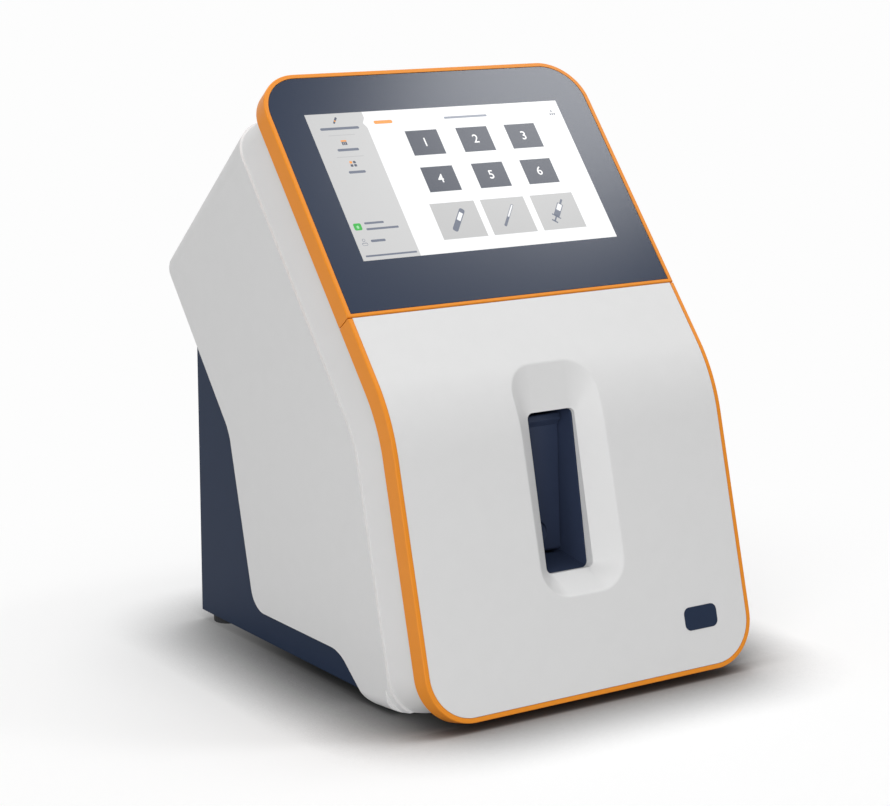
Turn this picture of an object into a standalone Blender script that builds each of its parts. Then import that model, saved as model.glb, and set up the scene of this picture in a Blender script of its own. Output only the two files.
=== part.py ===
"""Benchtop electrolyte analyzer: white hood on a dark base, tilted display head, curved front door.

Metres, X to the right, Y to the rear, Z up. The origin is on the floor under the middle of the machine.
"""

import bpy
import bmesh
from math import cos, pi, radians, sin, tan
from mathutils import Matrix, Vector

mm = 0.001

# Overall form
machine_width = 197.8 * mm
upper_lean = radians(39.78)
lower_lean = radians(14.75)
display_length = 140.7 * mm
door_upper_length = 55.35 * mm
door_lower_length = 147.4 * mm
bend_radius = 88.0 * mm
rim_floor_gap = 1.8 * mm
foot_height = 5.0 * mm
contact_gap = 0.3 * mm
overrun = 3.0 * mm

# Orange rims and what they hold
rim_depth = 10.6 * mm
rim_lip = 2.37 * mm
rim_edge_round = 0.6 * mm
top_corner_radius = 24.0 * mm
bottom_corner_radius = 25.0 * mm
seam_gap = 0.5 * mm
bezel_bottom_lip = 1.72 * mm
inlay_gap = 0.2 * mm
inlay_drop = 0.15 * mm
glass_thickness = 1.8 * mm
bezel_ledge = 2.0 * mm
bezel_web = 1.9 * mm
bezel_web_width = 12.4 * mm
collar_width = 4.0 * mm
collar_bottom = 2.0 * mm

# Screen and what is behind it
screen_height = 85.9 * mm
screen_bottom = 30.0 * mm
lcd_side_margin = 16.4 * mm
lcd_height = 100.0 * mm
lcd_thickness = 4.7 * mm
bracket_side_margin = 6.9 * mm
bracket_height = 122.0 * mm
bracket_sheet = 1.2 * mm
bracket_corner = 12.0 * mm
bracket_window_width = 26.0 * mm
bracket_window_height = 26.0 * mm
bracket_window_offset = 60.0 * mm
display_board_width = 110.0 * mm
display_board_height = 70.0 * mm
display_board_sheet = 1.6 * mm
display_standoff_radius = 2.5 * mm
display_standoff_length = 4.0 * mm
display_standoff_inset = 6.0 * mm

# White hood
shell_inset = 1.9 * mm
shell_wall = 2.2 * mm
neck_gap = 2.7 * mm
neck_inset = 8.4 * mm
band_depth = 37.7 * mm
shell_rear_upper = 149.0 * mm
shell_rear_lower = 161.8 * mm
shell_rear_drop = 16.7 * mm
rear_corner_radius = 8.0 * mm
rear_bend_radius = 25.0 * mm
heel_radius = 13.0 * mm
step_radius = 20.0 * mm
hood_edge_radius = 10.0 * mm
shell_bottom_rise = 0.2 * mm
cheek_toe = 66.8 * mm
cheek_step_run = 20.1 * mm
cheek_step_rise = 15.7 * mm

# Dark base and rear side
base_rear = 233.6 * mm
base_wall = 2.3 * mm
base_floor = 2.5 * mm
wing_overlap = 14.0 * mm
rear_panel_thickness = 2.5 * mm
foot_radius = 8.0 * mm
foot_inset = 10.5 * mm
front_foot_setback = 8.5 * mm
screw_head_radius = 3.0 * mm
screw_head_height = 1.6 * mm
screw_radius = 1.5 * mm
screw_length = 5.0 * mm
screw_clearance = 0.15 * mm
panel_screw_inset = 7.0 * mm
vent_count = 7
vent_width = 70.0 * mm
vent_height = 2.4 * mm
vent_pitch = 5.2 * mm
vent_drop = 14.0 * mm

# Door
door_skin = 2.5 * mm
liner_sheet = 2.0 * mm
liner_window_margin = 7.0 * mm
scoop_half_width = 25.2 * mm
scoop_top = 36.5 * mm
scoop_bottom = 97.6 * mm
scoop_corner_radius = 16.0 * mm
slot_half_width = 14.2 * mm
slot_top = 6.8 * mm
slot_bottom = 86.0 * mm
slot_corner_radius = 3.2 * mm
slot_lip_depth_top = 9.3 * mm
slot_lip_depth_bottom = 11.4 * mm
slot_rear_depth_top = 11.4 * mm
slot_rear_depth_bottom = 16.9 * mm
scoop_wall = 2.2 * mm
scoop_overrun_share = 0.3
long_side_shares = (0.3, 0.5, 0.67, 0.72, 0.77, 0.82)
badge_width = 20.6 * mm
badge_height = 11.7 * mm
badge_side_margin = 31.7 * mm
badge_foot_margin = 27.2 * mm
badge_corner = 3.4 * mm
badge_thickness = 0.8 * mm
badge_proud = 0.3 * mm

# Concealed hinge on the door's left edge
hinge_inset = 5.1 * mm
hinge_depth = 6.0 * mm
hinge_upper_drop = 30.0 * mm
hinge_foot_margin = 37.4 * mm
knuckle_radius = 2.4 * mm
knuckle_height = 4.6 * mm
lug_height = 4.0 * mm
hinge_pin_radius = 1.25 * mm
hinge_pin_clearance = 0.08 * mm
hinge_arm = 2.4 * mm
hinge_arm_front_share = 0.75
hinge_arm_reach = 7.6 * mm
hinge_leg = 3.0 * mm
hinge_foot_width = 9.0 * mm
hinge_foot_height = 14.0 * mm
hinge_foot_sheet = 1.8 * mm

# Catch on the door's right edge
magnet_side_margin = 17.4 * mm
magnet_width = 7.0 * mm
magnet_height = 30.0 * mm
magnet_length = 5.6 * mm
catch_drop = 74.0 * mm
striker_width = 10.0 * mm
striker_height = 36.0 * mm

# Inner front plate behind the door
plate_sheet = 2.0 * mm
plate_side_gap = 0.4 * mm
plate_top = 7.0 * mm
plate_corner = 12.0 * mm
tray_side_margin = 20.9 * mm
tray_window_right = 22.0 * mm
tray_window_top = 9.0 * mm
tray_foot_margin = 20.4 * mm
pack_window_left = 21.0 * mm
pack_side_margin = 25.4 * mm
pack_window_top = 24.0 * mm
pack_foot_margin = 16.4 * mm

# Sample inlet behind the slot
inlet_half_width = 14.0 * mm
inlet_wall = 2.3 * mm
inlet_front_gap = 0.5 * mm
inlet_window_gap = 1.0 * mm
inlet_top = 6.9 * mm
inlet_floor_front = 86.0 * mm
inlet_floor_rear = 77.5 * mm
inlet_ledge_depth = 37.4 * mm
inlet_rear_depth_top = 42.0 * mm
inlet_rear_depth_bottom = 54.0 * mm
flap_half_width = 13.4 * mm
flap_top = 8.0 * mm
flap_front_depth_top = 23.4 * mm
flap_front_depth_pivot = 36.6 * mm
flap_pivot_drop = 73.2 * mm
flap_thickness = 4.2 * mm
flap_heel_share = 0.7
flap_grip = 2.6 * mm
flap_grip_height = 3.2 * mm
inlet_pin_radius = 1.5 * mm
inlet_pin_clearance = 0.08 * mm
port_drop = 66.5 * mm
port_radius = 5.0 * mm
port_bore = 1.6 * mm
port_length = 2.4 * mm
port_proud = 0.9 * mm
probe_radius = 0.8 * mm
probe_tip_gap = 0.6 * mm
probe_hub_radius = 3.6 * mm
probe_hub_length = 5.0 * mm
probe_tail_length = 6.0 * mm
probe_tail_radius = 2.0 * mm

# Tub with the sensors and the pump
tub_wall = 2.0 * mm
tub_depth = 33.0 * mm
tub_set_back = 1.0 * mm
dock_side_margin = 6.0 * mm
dock_top = 13.0 * mm
dock_pump_rise = 41.0 * mm
dock_depth = 12.4 * mm
dock_stub_radius = 2.0 * mm
dock_stub_x = 34.0 * mm
dock_stub_offset = 5.0 * mm
dock_stub_length = 7.0 * mm
cartridge_side_margin = 5.0 * mm
cartridge_depth = 13.5 * mm
strip_side_margin = 4.0 * mm
strip_height_share = 13 / 22
strip_sheet = 2.0 * mm
strip_sink = 1.2 * mm
electrode_radius = 3.6 * mm
electrode_margin_x = 5.8 * mm
electrode_margin_y = 3.9 * mm
electrode_pitch_x = 13.0 * mm
electrode_pitch_y = 15.0 * mm
lock_pump_rise = 35.0 * mm
lock_post_radius = 3.0 * mm
lock_wing_length = 20.0 * mm
lock_wing_width = 7.0 * mm
lock_wing_thickness = 2.2 * mm

# Peristaltic pump
pump_foot_margin = 29.0 * mm
pump_side_margin = 5.0 * mm
pump_track_wall = 3.8 * mm
pump_body_depth = 17.0 * mm
tube_radius = 1.5 * mm
roller_radius_share = 0.21875
roller_length = 11.8 * mm
roller_pin_radius = 1.4 * mm
roller_clearance = 0.08 * mm
roller_count = 3
rotor_hub_gap = 0.8 * mm
rotor_disc_sheet = 2.0 * mm
rotor_knob_radius = 5.0 * mm
rotor_knob_length = 3.0 * mm
shaft_radius = 2.5 * mm
shaft_clearance = 0.08 * mm
shaft_length = 9.0 * mm
motor_size = 35.0 * mm
motor_length = 26.0 * mm
motor_corner = 4.0 * mm

# Reagent and waste pack in its compartment
pack_wall = 1.8 * mm
pack_side_gap = 0.4 * mm
pack_bay_floor = 17.5 * mm
pack_bay_headroom = 47.4 * mm
pack_bay_rear = 36.0 * mm
pack_front_depth = 14.6 * mm
pack_rear_gap = 1.2 * mm
pack_edge_round = 2.0 * mm
pack_tab_width = 24.0 * mm
pack_tab_height = 12.0 * mm
pack_tab_sheet = 5.4 * mm
pack_tab_drop = 84.0 * mm
pack_skid_width = 5.0 * mm
manifold_width = 36.0 * mm
manifold_height = 56.0 * mm
manifold_depth = 9.0 * mm
barb_radius = 2.2 * mm
barb_length = 6.0 * mm
barb_pitch = 12.0 * mm
barb_count = 4

# Electronics
board_width = 92.0 * mm
board_height = 92.0 * mm
board_sheet = 1.6 * mm
board_side_margin = 12.2 * mm
board_bottom = 24.0 * mm
board_gap = 9.2 * mm
standoff_radius = 3.0 * mm
standoff_inset = 6.0 * mm
chip_size = 18.0 * mm
chip_height = 2.4 * mm
coil_size = 12.0 * mm
coil_height = 7.0 * mm
header_width = 30.0 * mm
header_height = 6.0 * mm
header_depth = 8.0 * mm
chip_place_shares = ((0.3, 0.55), (0.7, 0.5))
coil_place_shares = ((0.2, 0.2), (0.45, 0.2), (0.7, 0.2))
supply_width = 56.0 * mm
supply_depth = 100.0 * mm
supply_height = 30.0 * mm
supply_side_margin = 7.2 * mm
supply_rear_gap = 24.0 * mm
supply_edge_round = 1.2 * mm

# Sockets and switch on the rear panel
socket_level = 62.0 * mm
power_side_margin = 30.2 * mm
power_width = 27.0 * mm
power_height = 20.0 * mm
power_flange = 2.5 * mm
power_flange_sheet = 1.4 * mm
power_depth = 19.0 * mm
power_cavity_width = 23.0 * mm
power_cavity_height = 15.4 * mm
power_cavity_depth = 16.0 * mm
power_pin_width = 2.0 * mm
power_pin_height = 4.0 * mm
power_pin_length = 11.4 * mm
power_pin_pitch = 7.0 * mm
power_pin_lift_share = 0.3
switch_pitch = 32.0 * mm
switch_width = 21.0 * mm
switch_height = 15.0 * mm
switch_depth = 11.0 * mm
rocker_radius = 5.4 * mm
rocker_width = 15.4 * mm
rocker_sink = 1.2 * mm
rocker_tilt = radians(9)
rocker_crown = 1.3 * mm
rocker_open_angle = radians(62)
rocker_stub_radius = 1.2 * mm
rocker_stub_length = 1.6 * mm
port_level = 36.0 * mm
network_x = 16.0 * mm
network_width = 16.0 * mm
network_height = 13.6 * mm
network_cavity_width = 11.8 * mm
network_cavity_height = 8.2 * mm
port_cavity_depth = 9.6 * mm
port_rear_proud = 0.4 * mm
usb_x = 50.0 * mm
usb_width = 14.6 * mm
usb_height = 15.4 * mm
usb_cavity_width = 12.4 * mm
usb_cavity_height = 5.2 * mm
usb_pitch = 7.4 * mm
usb_tongue = 1.8 * mm
usb_tongue_gap = 0.5 * mm

# Tubes and cable
line_radius = 1.3 * mm
line_rise = 8.0 * mm
line_stub = 1.0 * mm
cable_radius = 2.2 * mm
cable_slack = 16.0 * mm
cable_stub_share = 0.15

# Counts of segments, the share of a half width that a full round takes, and the weld distance
full_round_share = 0.99
corner_steps = 6
weld = 0.003 * mm
bend_steps = 8
round_sides = 24
small_sides = 16
line_points = 15

# Worked out from the values above
half_width = machine_width / 2
bend_angle = upper_lean - lower_lean
bend_tangent = bend_radius * tan(bend_angle / 2)
bend_start = door_upper_length - bend_tangent
bend_arc = bend_radius * bend_angle
door_length = bend_start + bend_arc + door_lower_length - bend_tangent
upper_way = Vector((sin(upper_lean), cos(upper_lean)))
lower_way = Vector((sin(lower_lean), cos(lower_lean)))
upper_in = Vector((cos(upper_lean), -sin(upper_lean)))
lower_in = Vector((cos(lower_lean), -sin(lower_lean)))
bend_vertex = -upper_way * door_upper_length
neck_depth = rim_depth + neck_gap
inlay_depth = inlay_drop + glass_thickness
shell_half_width = half_width - shell_inset
base_half_width = shell_half_width - shell_wall - contact_gap
inner_half_width = base_half_width - base_wall
lcd_width = 2 * (half_width - lcd_side_margin)
bracket_width = 2 * (half_width - bracket_side_margin)
badge_x = half_width - badge_side_margin
badge_drop = door_lower_length - badge_foot_margin
hinge_lower_drop = door_lower_length - hinge_foot_margin
magnet_x = half_width - magnet_side_margin
tray_window_left = half_width - tray_side_margin
tray_window_bottom = door_lower_length - tray_foot_margin
pack_window_right = half_width - pack_side_margin
pack_window_bottom = door_lower_length - pack_foot_margin
sensor_x = (tray_window_left + tray_window_right) / 2
tray_half_width = (tray_window_left - tray_window_right) / 2
pump_drop = tray_window_bottom - pump_foot_margin
pump_half_size = tray_half_width - pump_side_margin
pump_track_radius = pump_half_size - pump_track_wall
roller_radius = pump_track_radius * roller_radius_share
roller_orbit = pump_track_radius - contact_gap * 2 - tube_radius * 2 - roller_radius
rotor_hub_radius = roller_orbit - roller_radius - rotor_hub_gap
rotor_disc_radius = pump_track_radius - roller_radius
lock_drop = pump_drop - lock_pump_rise
dock_bottom = pump_drop - dock_pump_rise
dock_half_width = tray_half_width - dock_side_margin
dock_stub_drop = (dock_top + dock_bottom) / 2 + dock_stub_offset
cartridge_half_width = tray_half_width - cartridge_side_margin
strip_width = 2 * (cartridge_half_width - strip_side_margin)
strip_height = (dock_bottom - dock_top) * strip_height_share
electrode_columns = 1 + int((strip_width - 2 * electrode_margin_x) / electrode_pitch_x)
electrode_rows = 1 + int((strip_height - 2 * electrode_margin_y) / electrode_pitch_y)
tub_front = -neck_depth - plate_sheet - contact_gap - tub_set_back
tub_rear = tub_front - tub_depth
flap_pivot_depth = flap_front_depth_pivot + flap_thickness / 2
pack_bay_top = pack_bay_floor + door_lower_length - pack_bay_headroom
board_x = inner_half_width - board_side_margin - board_width / 2
supply_x = inner_half_width - supply_side_margin - supply_width / 2
power_x = inner_half_width - power_side_margin
switch_x = power_x - switch_pitch


def upper_point(rise, depth):
    """Side view point on the display's slope, above the seam and behind the front surface, seen from the seam."""
    return upper_way * rise + upper_in * depth


def lower_point(drop, depth):
    """Side view point on the lower slope, below the bend's vertex and behind the front surface."""
    return bend_vertex - lower_way * drop + lower_in * depth


def meet(start, way, other, other_way):
    """Where two lines of the side view cross."""
    return start + way * ((other - start).cross(other_way) / way.cross(other_way))


def rounded(corners, steps=corner_steps):
    """A closed outline with each (corner, radius) turned into an arc."""
    points = []
    for number, (corner, radius) in enumerate(corners):
        corner = Vector(corner)
        if not radius:
            points.append(corner)
            continue
        before = (Vector(corners[number - 1][0]) - corner).normalized()
        after = (Vector(corners[(number + 1) % len(corners)][0]) - corner).normalized()
        half = before.angle(after) / 2
        centre = corner + (before + after).normalized() * radius / sin(half)
        start = corner + before * radius / tan(half) - centre
        end = corner + after * radius / tan(half) - centre
        turn = start.angle(end) * (1 if start.cross(end) > 0 else -1)
        for step in range(steps + 1):
            points.append(centre + Matrix.Rotation(turn * step / steps, 2) @ start)
    return points


def rounded_box(half, low, high, low_radius, high_radius, steps=corner_steps):
    """Outline of a rectangle that is symmetric about X = 0."""
    corners = [((-half, low), low_radius), ((half, low), low_radius)]
    corners += [((half, high), high_radius), ((-half, high), high_radius)]
    return rounded(corners, steps)


# Side outline of the hood, seen from the seam, before it is set on the floor
def shell_lines(inset):
    """The hood's top line, as a point and a way, moved inwards by the inset."""
    front = upper_point(display_length - shell_inset, band_depth)
    rear = upper_point(display_length - shell_rear_drop, shell_rear_upper)
    way = (rear - front).normalized()
    inward = Vector((way.y, -way.x))
    return front + inward * inset, way, inward


def shell_outline(inset, front_depth):
    """Closed side outline of the hood, with its front edge parallel to the curved front."""
    top, top_way, _ = shell_lines(inset)
    rear_upper = upper_point(0, shell_rear_upper - inset)
    rear_lower = lower_point(0, shell_rear_lower - inset)
    front_upper = upper_point(0, front_depth)
    front_lower = lower_point(0, front_depth)
    level = Vector((1, 0))
    bottom = Vector((0, shell_bottom + inset))
    step = Vector((0, shell_bottom + cheek_step_rise + inset))
    toe = lower_point(door_lower_length, 0).x + cheek_toe
    corners = [
        (meet(top, top_way, front_upper, upper_way), 0),
        (meet(top, top_way, rear_upper, upper_way), rear_corner_radius - inset),
        (meet(rear_upper, upper_way, rear_lower, lower_way), rear_bend_radius + inset),
        (meet(rear_lower, lower_way, step, level), heel_radius - inset),
        ((toe + cheek_step_run, step.y), step_radius),
        ((toe, bottom.y), step_radius),
        (meet(bottom, level, front_lower, lower_way), 0),
        (meet(front_lower, lower_way, front_upper, upper_way), bend_radius - front_depth),
    ]
    return rounded(corners)


# The seam's place over the floor and between the front and the rear
door_foot = lower_point(door_lower_length, rim_depth)
seam_height = rim_floor_gap - door_foot.y
shell_bottom = foot_height + shell_bottom_rise - seam_height
front_reach = lower_point(door_lower_length, 0).x
rear_reach = max(point.x for point in shell_outline(0, neck_depth))
seam_setback = -(front_reach + rear_reach) / 2
seam_place = Vector((0, seam_setback, seam_height))
base_rear_face = front_reach + base_rear + seam_setback
lower_place = seam_place + Vector((0, bend_vertex.x, bend_vertex.y))


def world(point, x=0):
    """A side view point, seen from the seam, as a place in the machine."""
    return Vector((x, point.x, point.y)) + seam_place


def side(point):
    """A side view point in the machine's own Y and Z."""
    place = world(point)
    return Vector((place.y, place.z))


def face_point(x, rise, depth):
    """A place on the curved front: along the surface above the seam, and behind it."""
    if rise >= -bend_start:
        point = upper_point(rise, depth)
    elif rise >= -bend_start - bend_arc:
        lean = upper_lean + (rise + bend_start) / bend_radius
        centre = upper_point(-bend_start, bend_radius)
        point = centre + Vector((-cos(lean), sin(lean))) * (bend_radius - depth)
    else:
        point = lower_point(bend_tangent - bend_start - bend_arc - rise, depth)
    return world(point, x)


# Start from an empty scene
for old in list(bpy.data.objects):
    bpy.data.objects.remove(old, do_unlink=True)
scene = bpy.context.scene
machine = bpy.data.collections.new("electrolyte_analyzer")
scene.collection.children.link(machine)
cutters = bpy.data.collections.new("cutters")
scene.collection.children.link(cutters)


def srgb(value):
    """A hex colour as linear red, green, blue and alpha."""
    parts = [int(value[i : i + 2], 16) / 255 for i in (0, 2, 4)]
    return [p / 12.92 if p <= 0.04045 else ((p + 0.055) / 1.055) ** 2.4 for p in parts] + [1]


def finish(name, colour, roughness, metallic=0.0):
    material = bpy.data.materials.new(name)
    material.use_nodes = True
    shader = material.node_tree.nodes["Principled BSDF"]
    shader.inputs["Base Color"].default_value = srgb(colour)
    shader.inputs["Roughness"].default_value = roughness
    shader.inputs["Metallic"].default_value = metallic
    material.diffuse_color = srgb(colour)
    return material


def frame(name, place, turn=0.0, parent=None):
    """An empty that carries pieces, turned about X."""
    empty = bpy.data.objects.new(name, None)
    machine.objects.link(empty)
    empty.parent = parent
    empty.location = place
    empty.rotation_euler = (turn, 0, 0)
    bpy.context.view_layer.update()
    return empty


def link_solid(name, shape, collection, carrier=None, place=(0, 0, 0)):
    mesh = bpy.data.meshes.new(name)
    bmesh.ops.recalc_face_normals(shape, faces=shape.faces[:])
    shape.to_mesh(mesh)
    shape.free()
    obj = bpy.data.objects.new(name, mesh)
    collection.objects.link(obj)
    obj.parent = carrier
    obj.location = place
    return obj


def piece(name, shape, look, carrier=None, place=(0, 0, 0)):
    """A named piece of the machine."""
    obj = link_solid(name, shape, machine, carrier, place)
    material = finish(name, *look)
    obj.data.materials.append(material)
    obj.data.shade_smooth()
    obj.data.set_sharp_from_angle(angle=radians(28))
    return obj


def tool(name, shape, carrier=None, place=(0, 0, 0)):
    """A hidden shape that cuts or joins."""
    obj = link_solid(name, shape, cutters, carrier, place)
    obj.hide_render = True
    obj.display_type = "WIRE"
    return obj


def combine(obj, other, operation):
    modifier = obj.modifiers.new(operation.lower() + "_" + other.name, "BOOLEAN")
    modifier.operation = operation
    modifier.solver = "EXACT"
    modifier.object = other
    return obj


def cut(obj, *others):
    for other in others:
        combine(obj, other, "DIFFERENCE")
    return obj


def join(obj, *others):
    for other in others:
        combine(obj, other, "UNION")
    return obj


def settle(obj):
    """Replace the object's mesh by what its modifiers make of it."""
    bpy.context.view_layer.update()
    graph = bpy.context.evaluated_depsgraph_get()
    mesh = bpy.data.meshes.new_from_object(obj.evaluated_get(graph))
    obj.modifiers.clear()
    obj.data = mesh
    shape = bmesh.new()
    shape.from_mesh(mesh)
    bmesh.ops.remove_doubles(shape, verts=shape.verts, dist=weld)
    bmesh.ops.dissolve_degenerate(shape, edges=shape.edges, dist=weld)
    shape.to_mesh(mesh)
    shape.free()
    return obj


def hang(obj, carrier):
    """Give the object a carrier and leave it where it is."""
    bpy.context.view_layer.update()
    obj.parent = carrier
    obj.matrix_parent_inverse = carrier.matrix_world.inverted()
    return obj


def block(low, high):
    shape = bmesh.new()
    bmesh.ops.create_cube(shape, size=1)
    low, high = Vector(low), Vector(high)
    size = high - low
    bmesh.ops.scale(shape, vec=size, verts=shape.verts)
    bmesh.ops.translate(shape, vec=(low + high) / 2, verts=shape.verts)
    return shape


def eased(shape, radius, steps=1):
    """All edges of a shape rounded."""
    bmesh.ops.bevel(
        shape, geom=shape.edges[:], offset=radius, segments=steps, profile=0.5, affect="EDGES", material=-1
    )
    return shape


def rod(radius, low, high, sides=round_sides, axis="Z", centre=(0, 0, 0)):
    """A cylinder along an axis, between two places on it."""
    shape = bmesh.new()
    bmesh.ops.create_cone(
        shape, cap_ends=True, segments=sides, radius1=radius, radius2=radius, depth=high - low
    )
    bmesh.ops.translate(shape, vec=(0, 0, (low + high) / 2), verts=shape.verts)
    if axis == "X":
        bmesh.ops.rotate(shape, cent=(0, 0, 0), matrix=Matrix.Rotation(pi / 2, 3, "Y"), verts=shape.verts)
    if axis == "Y":
        bmesh.ops.rotate(shape, cent=(0, 0, 0), matrix=Matrix.Rotation(-pi / 2, 3, "X"), verts=shape.verts)
    bmesh.ops.translate(shape, vec=centre, verts=shape.verts)
    return shape


def together(*shapes):
    """Several closed shapes in one mesh, which may not overlap."""
    whole = bmesh.new()
    for shape in shapes:
        mesh = bpy.data.meshes.new("part")
        shape.to_mesh(mesh)
        shape.free()
        whole.from_mesh(mesh)
        bpy.data.meshes.remove(mesh)
    return whole


def plate(outlines, low, high):
    """A flat outline with any holes, given thickness between two heights."""
    curve = bpy.data.curves.new("outline", "CURVE")
    curve.dimensions = "2D"
    curve.fill_mode = "BOTH"
    curve.extrude = (high - low) / 2
    for outline in outlines:
        spline = curve.splines.new("POLY")
        spline.points.add(len(outline) - 1)
        for point, (x, y) in zip(spline.points, outline):
            point.co = (x, y, 0, 1)
        spline.use_cyclic_u = True
    helper = bpy.data.objects.new("outline", curve)
    cutters.objects.link(helper)
    bpy.context.view_layer.update()
    graph = bpy.context.evaluated_depsgraph_get()
    mesh = bpy.data.meshes.new_from_object(helper.evaluated_get(graph))
    shape = bmesh.new()
    shape.from_mesh(mesh)
    bpy.data.objects.remove(helper, do_unlink=True)
    bpy.data.curves.remove(curve)
    bpy.data.meshes.remove(mesh)
    bmesh.ops.remove_doubles(shape, verts=shape.verts, dist=weld)
    if len(outlines) == 1:
        bmesh.ops.dissolve_limit(shape, angle_limit=radians(0.1), verts=shape.verts, edges=shape.edges)
    bmesh.ops.translate(shape, vec=(0, 0, (low + high) / 2), verts=shape.verts)
    return shape


def side_plate(outlines, low, high):
    """The same, with the outline in the machine's side view and the thickness along X."""
    shape = plate(outlines, low, high)
    turn = Matrix(((0, 0, 1), (1, 0, 0), (0, 1, 0)))
    bmesh.ops.transform(shape, matrix=turn.to_4x4(), verts=shape.verts)
    return shape


def loft(loops, closed=False):
    """A skin over loops with as many points each, closed on itself or with an end that runs from side to side."""
    shape = bmesh.new()
    rings = [[shape.verts.new(point) for point in loop] for loop in loops]
    pairs = list(zip(rings, rings[1:]))
    if closed:
        pairs.append((rings[-1], rings[0]))
    for first, second in pairs:
        for i in range(len(first)):
            j = (i + 1) % len(first)
            shape.faces.new((first[i], first[j], second[j]))
            shape.faces.new((first[i], second[j], second[i]))
    if not closed:
        foot = 2 * corner_steps + 1
        for ring in (rings[0], rings[-1]):
            for i in range(foot - corner_steps, foot - corner_steps + len(ring) // 2 - 1):
                shape.faces.new((ring[i], ring[i + 1], ring[foot - i - 1], ring[foot - i]))
    bmesh.ops.recalc_face_normals(shape, faces=shape.faces)
    return shape


def bent(shape):
    """A shape made flat, in X, rise above the seam and height over the surface, laid on the curved front."""
    for step in range(bend_steps + 1):
        line = -bend_start - bend_arc * step / bend_steps
        geometry = shape.verts[:] + shape.edges[:] + shape.faces[:]
        bmesh.ops.bisect_plane(
            shape, geom=geometry, dist=weld / 2, plane_co=(0, line, 0), plane_no=(0, 1, 0)
        )
    for vertex in shape.verts:
        vertex.co = face_point(vertex.co.x, vertex.co.y, -vertex.co.z)
    return shape


def bent_object(obj):
    """The same for an object whose modifiers are first settled."""
    settle(obj)
    shape = bmesh.new()
    shape.from_mesh(obj.data)
    bent(shape)
    shape.to_mesh(obj.data)
    shape.free()
    return obj


def wire(name, points, radius, look, carrier=None):
    """A tube or a cable along its points."""
    curve = bpy.data.curves.new(name, "CURVE")
    curve.dimensions = "3D"
    curve.bevel_depth = radius
    curve.bevel_resolution = 2
    curve.use_fill_caps = True
    spline = curve.splines.new("POLY")
    spline.points.add(len(points) - 1)
    for point, place in zip(spline.points, points):
        point.co = (*place, 1)
    obj = bpy.data.objects.new(name, curve)
    machine.objects.link(obj)
    obj.parent = carrier
    curve.materials.append(finish(name, *look))
    return obj


def rim_edges(shape, *heights):
    """The edges of a flat plate's outline at the given heights."""
    close = contact_gap / 10
    found = []
    for edge in shape.edges:
        ends = [vertex.co.z for vertex in edge.verts]
        level = any(all(abs(end - height) < close for end in ends) for height in heights)
        if level and edge.calc_face_angle(0) > radians(45):
            found.append(edge)
    return found


def eased_plate(outlines, low, high, radius, *heights):
    """A flat plate whose outline is rounded over at the given heights."""
    shape = plate(outlines, low, high)
    bmesh.ops.bevel(
        shape, geom=rim_edges(shape, *heights), offset=radius, segments=2, profile=0.5, affect="EDGES",
        material=-1,
    )
    return shape


# Finishes: colour, roughness, metallic
orange = ("F0943E", 0.45)
white = ("DEDEDC", 0.5)
grey = ("9A9DA2", 0.5)
light_grey = ("C9CBCE", 0.5)
navy = ("3B4251", 0.5)
dark_navy = ("262B38", 0.45)
glass_look = ("36465A", 0.12)
black = ("1B1C1F", 0.5)
rubber = ("202124", 0.85)
steel = ("B9BCC0", 0.3, 1.0)
aluminium = ("C4C7CA", 0.35, 1.0)
board_green = ("1F5B3A", 0.55)
silicone = ("D9DCDC", 0.35)
gold = ("D8B25A", 0.3, 1.0)

display_frame = frame("display_face", seam_place, pi / 2 - upper_lean)
lower_frame = frame("lower_face", lower_place, pi / 2 - lower_lean)
hinge_x = -half_width + hinge_inset
door_axis = frame("door_axis", (hinge_x, 0, -hinge_depth), 0, lower_frame)


def inset_outline(inset, bottom):
    """Outline of the display head, moved inwards, from a bottom line up."""
    return rounded_box(half_width - inset, bottom, display_length - inset, 0, top_corner_radius - inset)


def door_outline(inset, top):
    """Outline of the door, moved inwards, from its foot up to a top line."""
    return rounded_box(half_width - inset, inset - door_length, top, bottom_corner_radius - inset, 0)


def make_bezel():
    foot = seam_gap / 2
    body = eased_plate([inset_outline(0, foot)], -rim_depth, 0, rim_edge_round, 0, -rim_depth)
    bezel = piece("display_bezel", body, orange)
    floor = foot + bezel_bottom_lip
    seat = inlay_depth + contact_gap
    web = rim_depth - bezel_web
    pocket = plate([inset_outline(rim_lip, floor)], -seat, overrun)
    cavity = plate([inset_outline(rim_lip + bezel_ledge, floor + bezel_ledge)], -web, overrun)
    window = plate([inset_outline(bezel_web_width, collar_bottom + collar_width)], -rim_depth - overrun,
                   overrun)
    cut(bezel, tool("bezel_pocket", pocket), tool("bezel_cavity", cavity), tool("bezel_window", window))
    inner = inset_outline(neck_inset + collar_width, collar_bottom + collar_width)
    ring = [inset_outline(neck_inset, collar_bottom), inner]
    collar = plate(ring, contact_gap - neck_depth, -rim_depth + bezel_web / 2)
    join(bezel, tool("bezel_collar", collar))
    bent_object(bezel)


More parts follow.
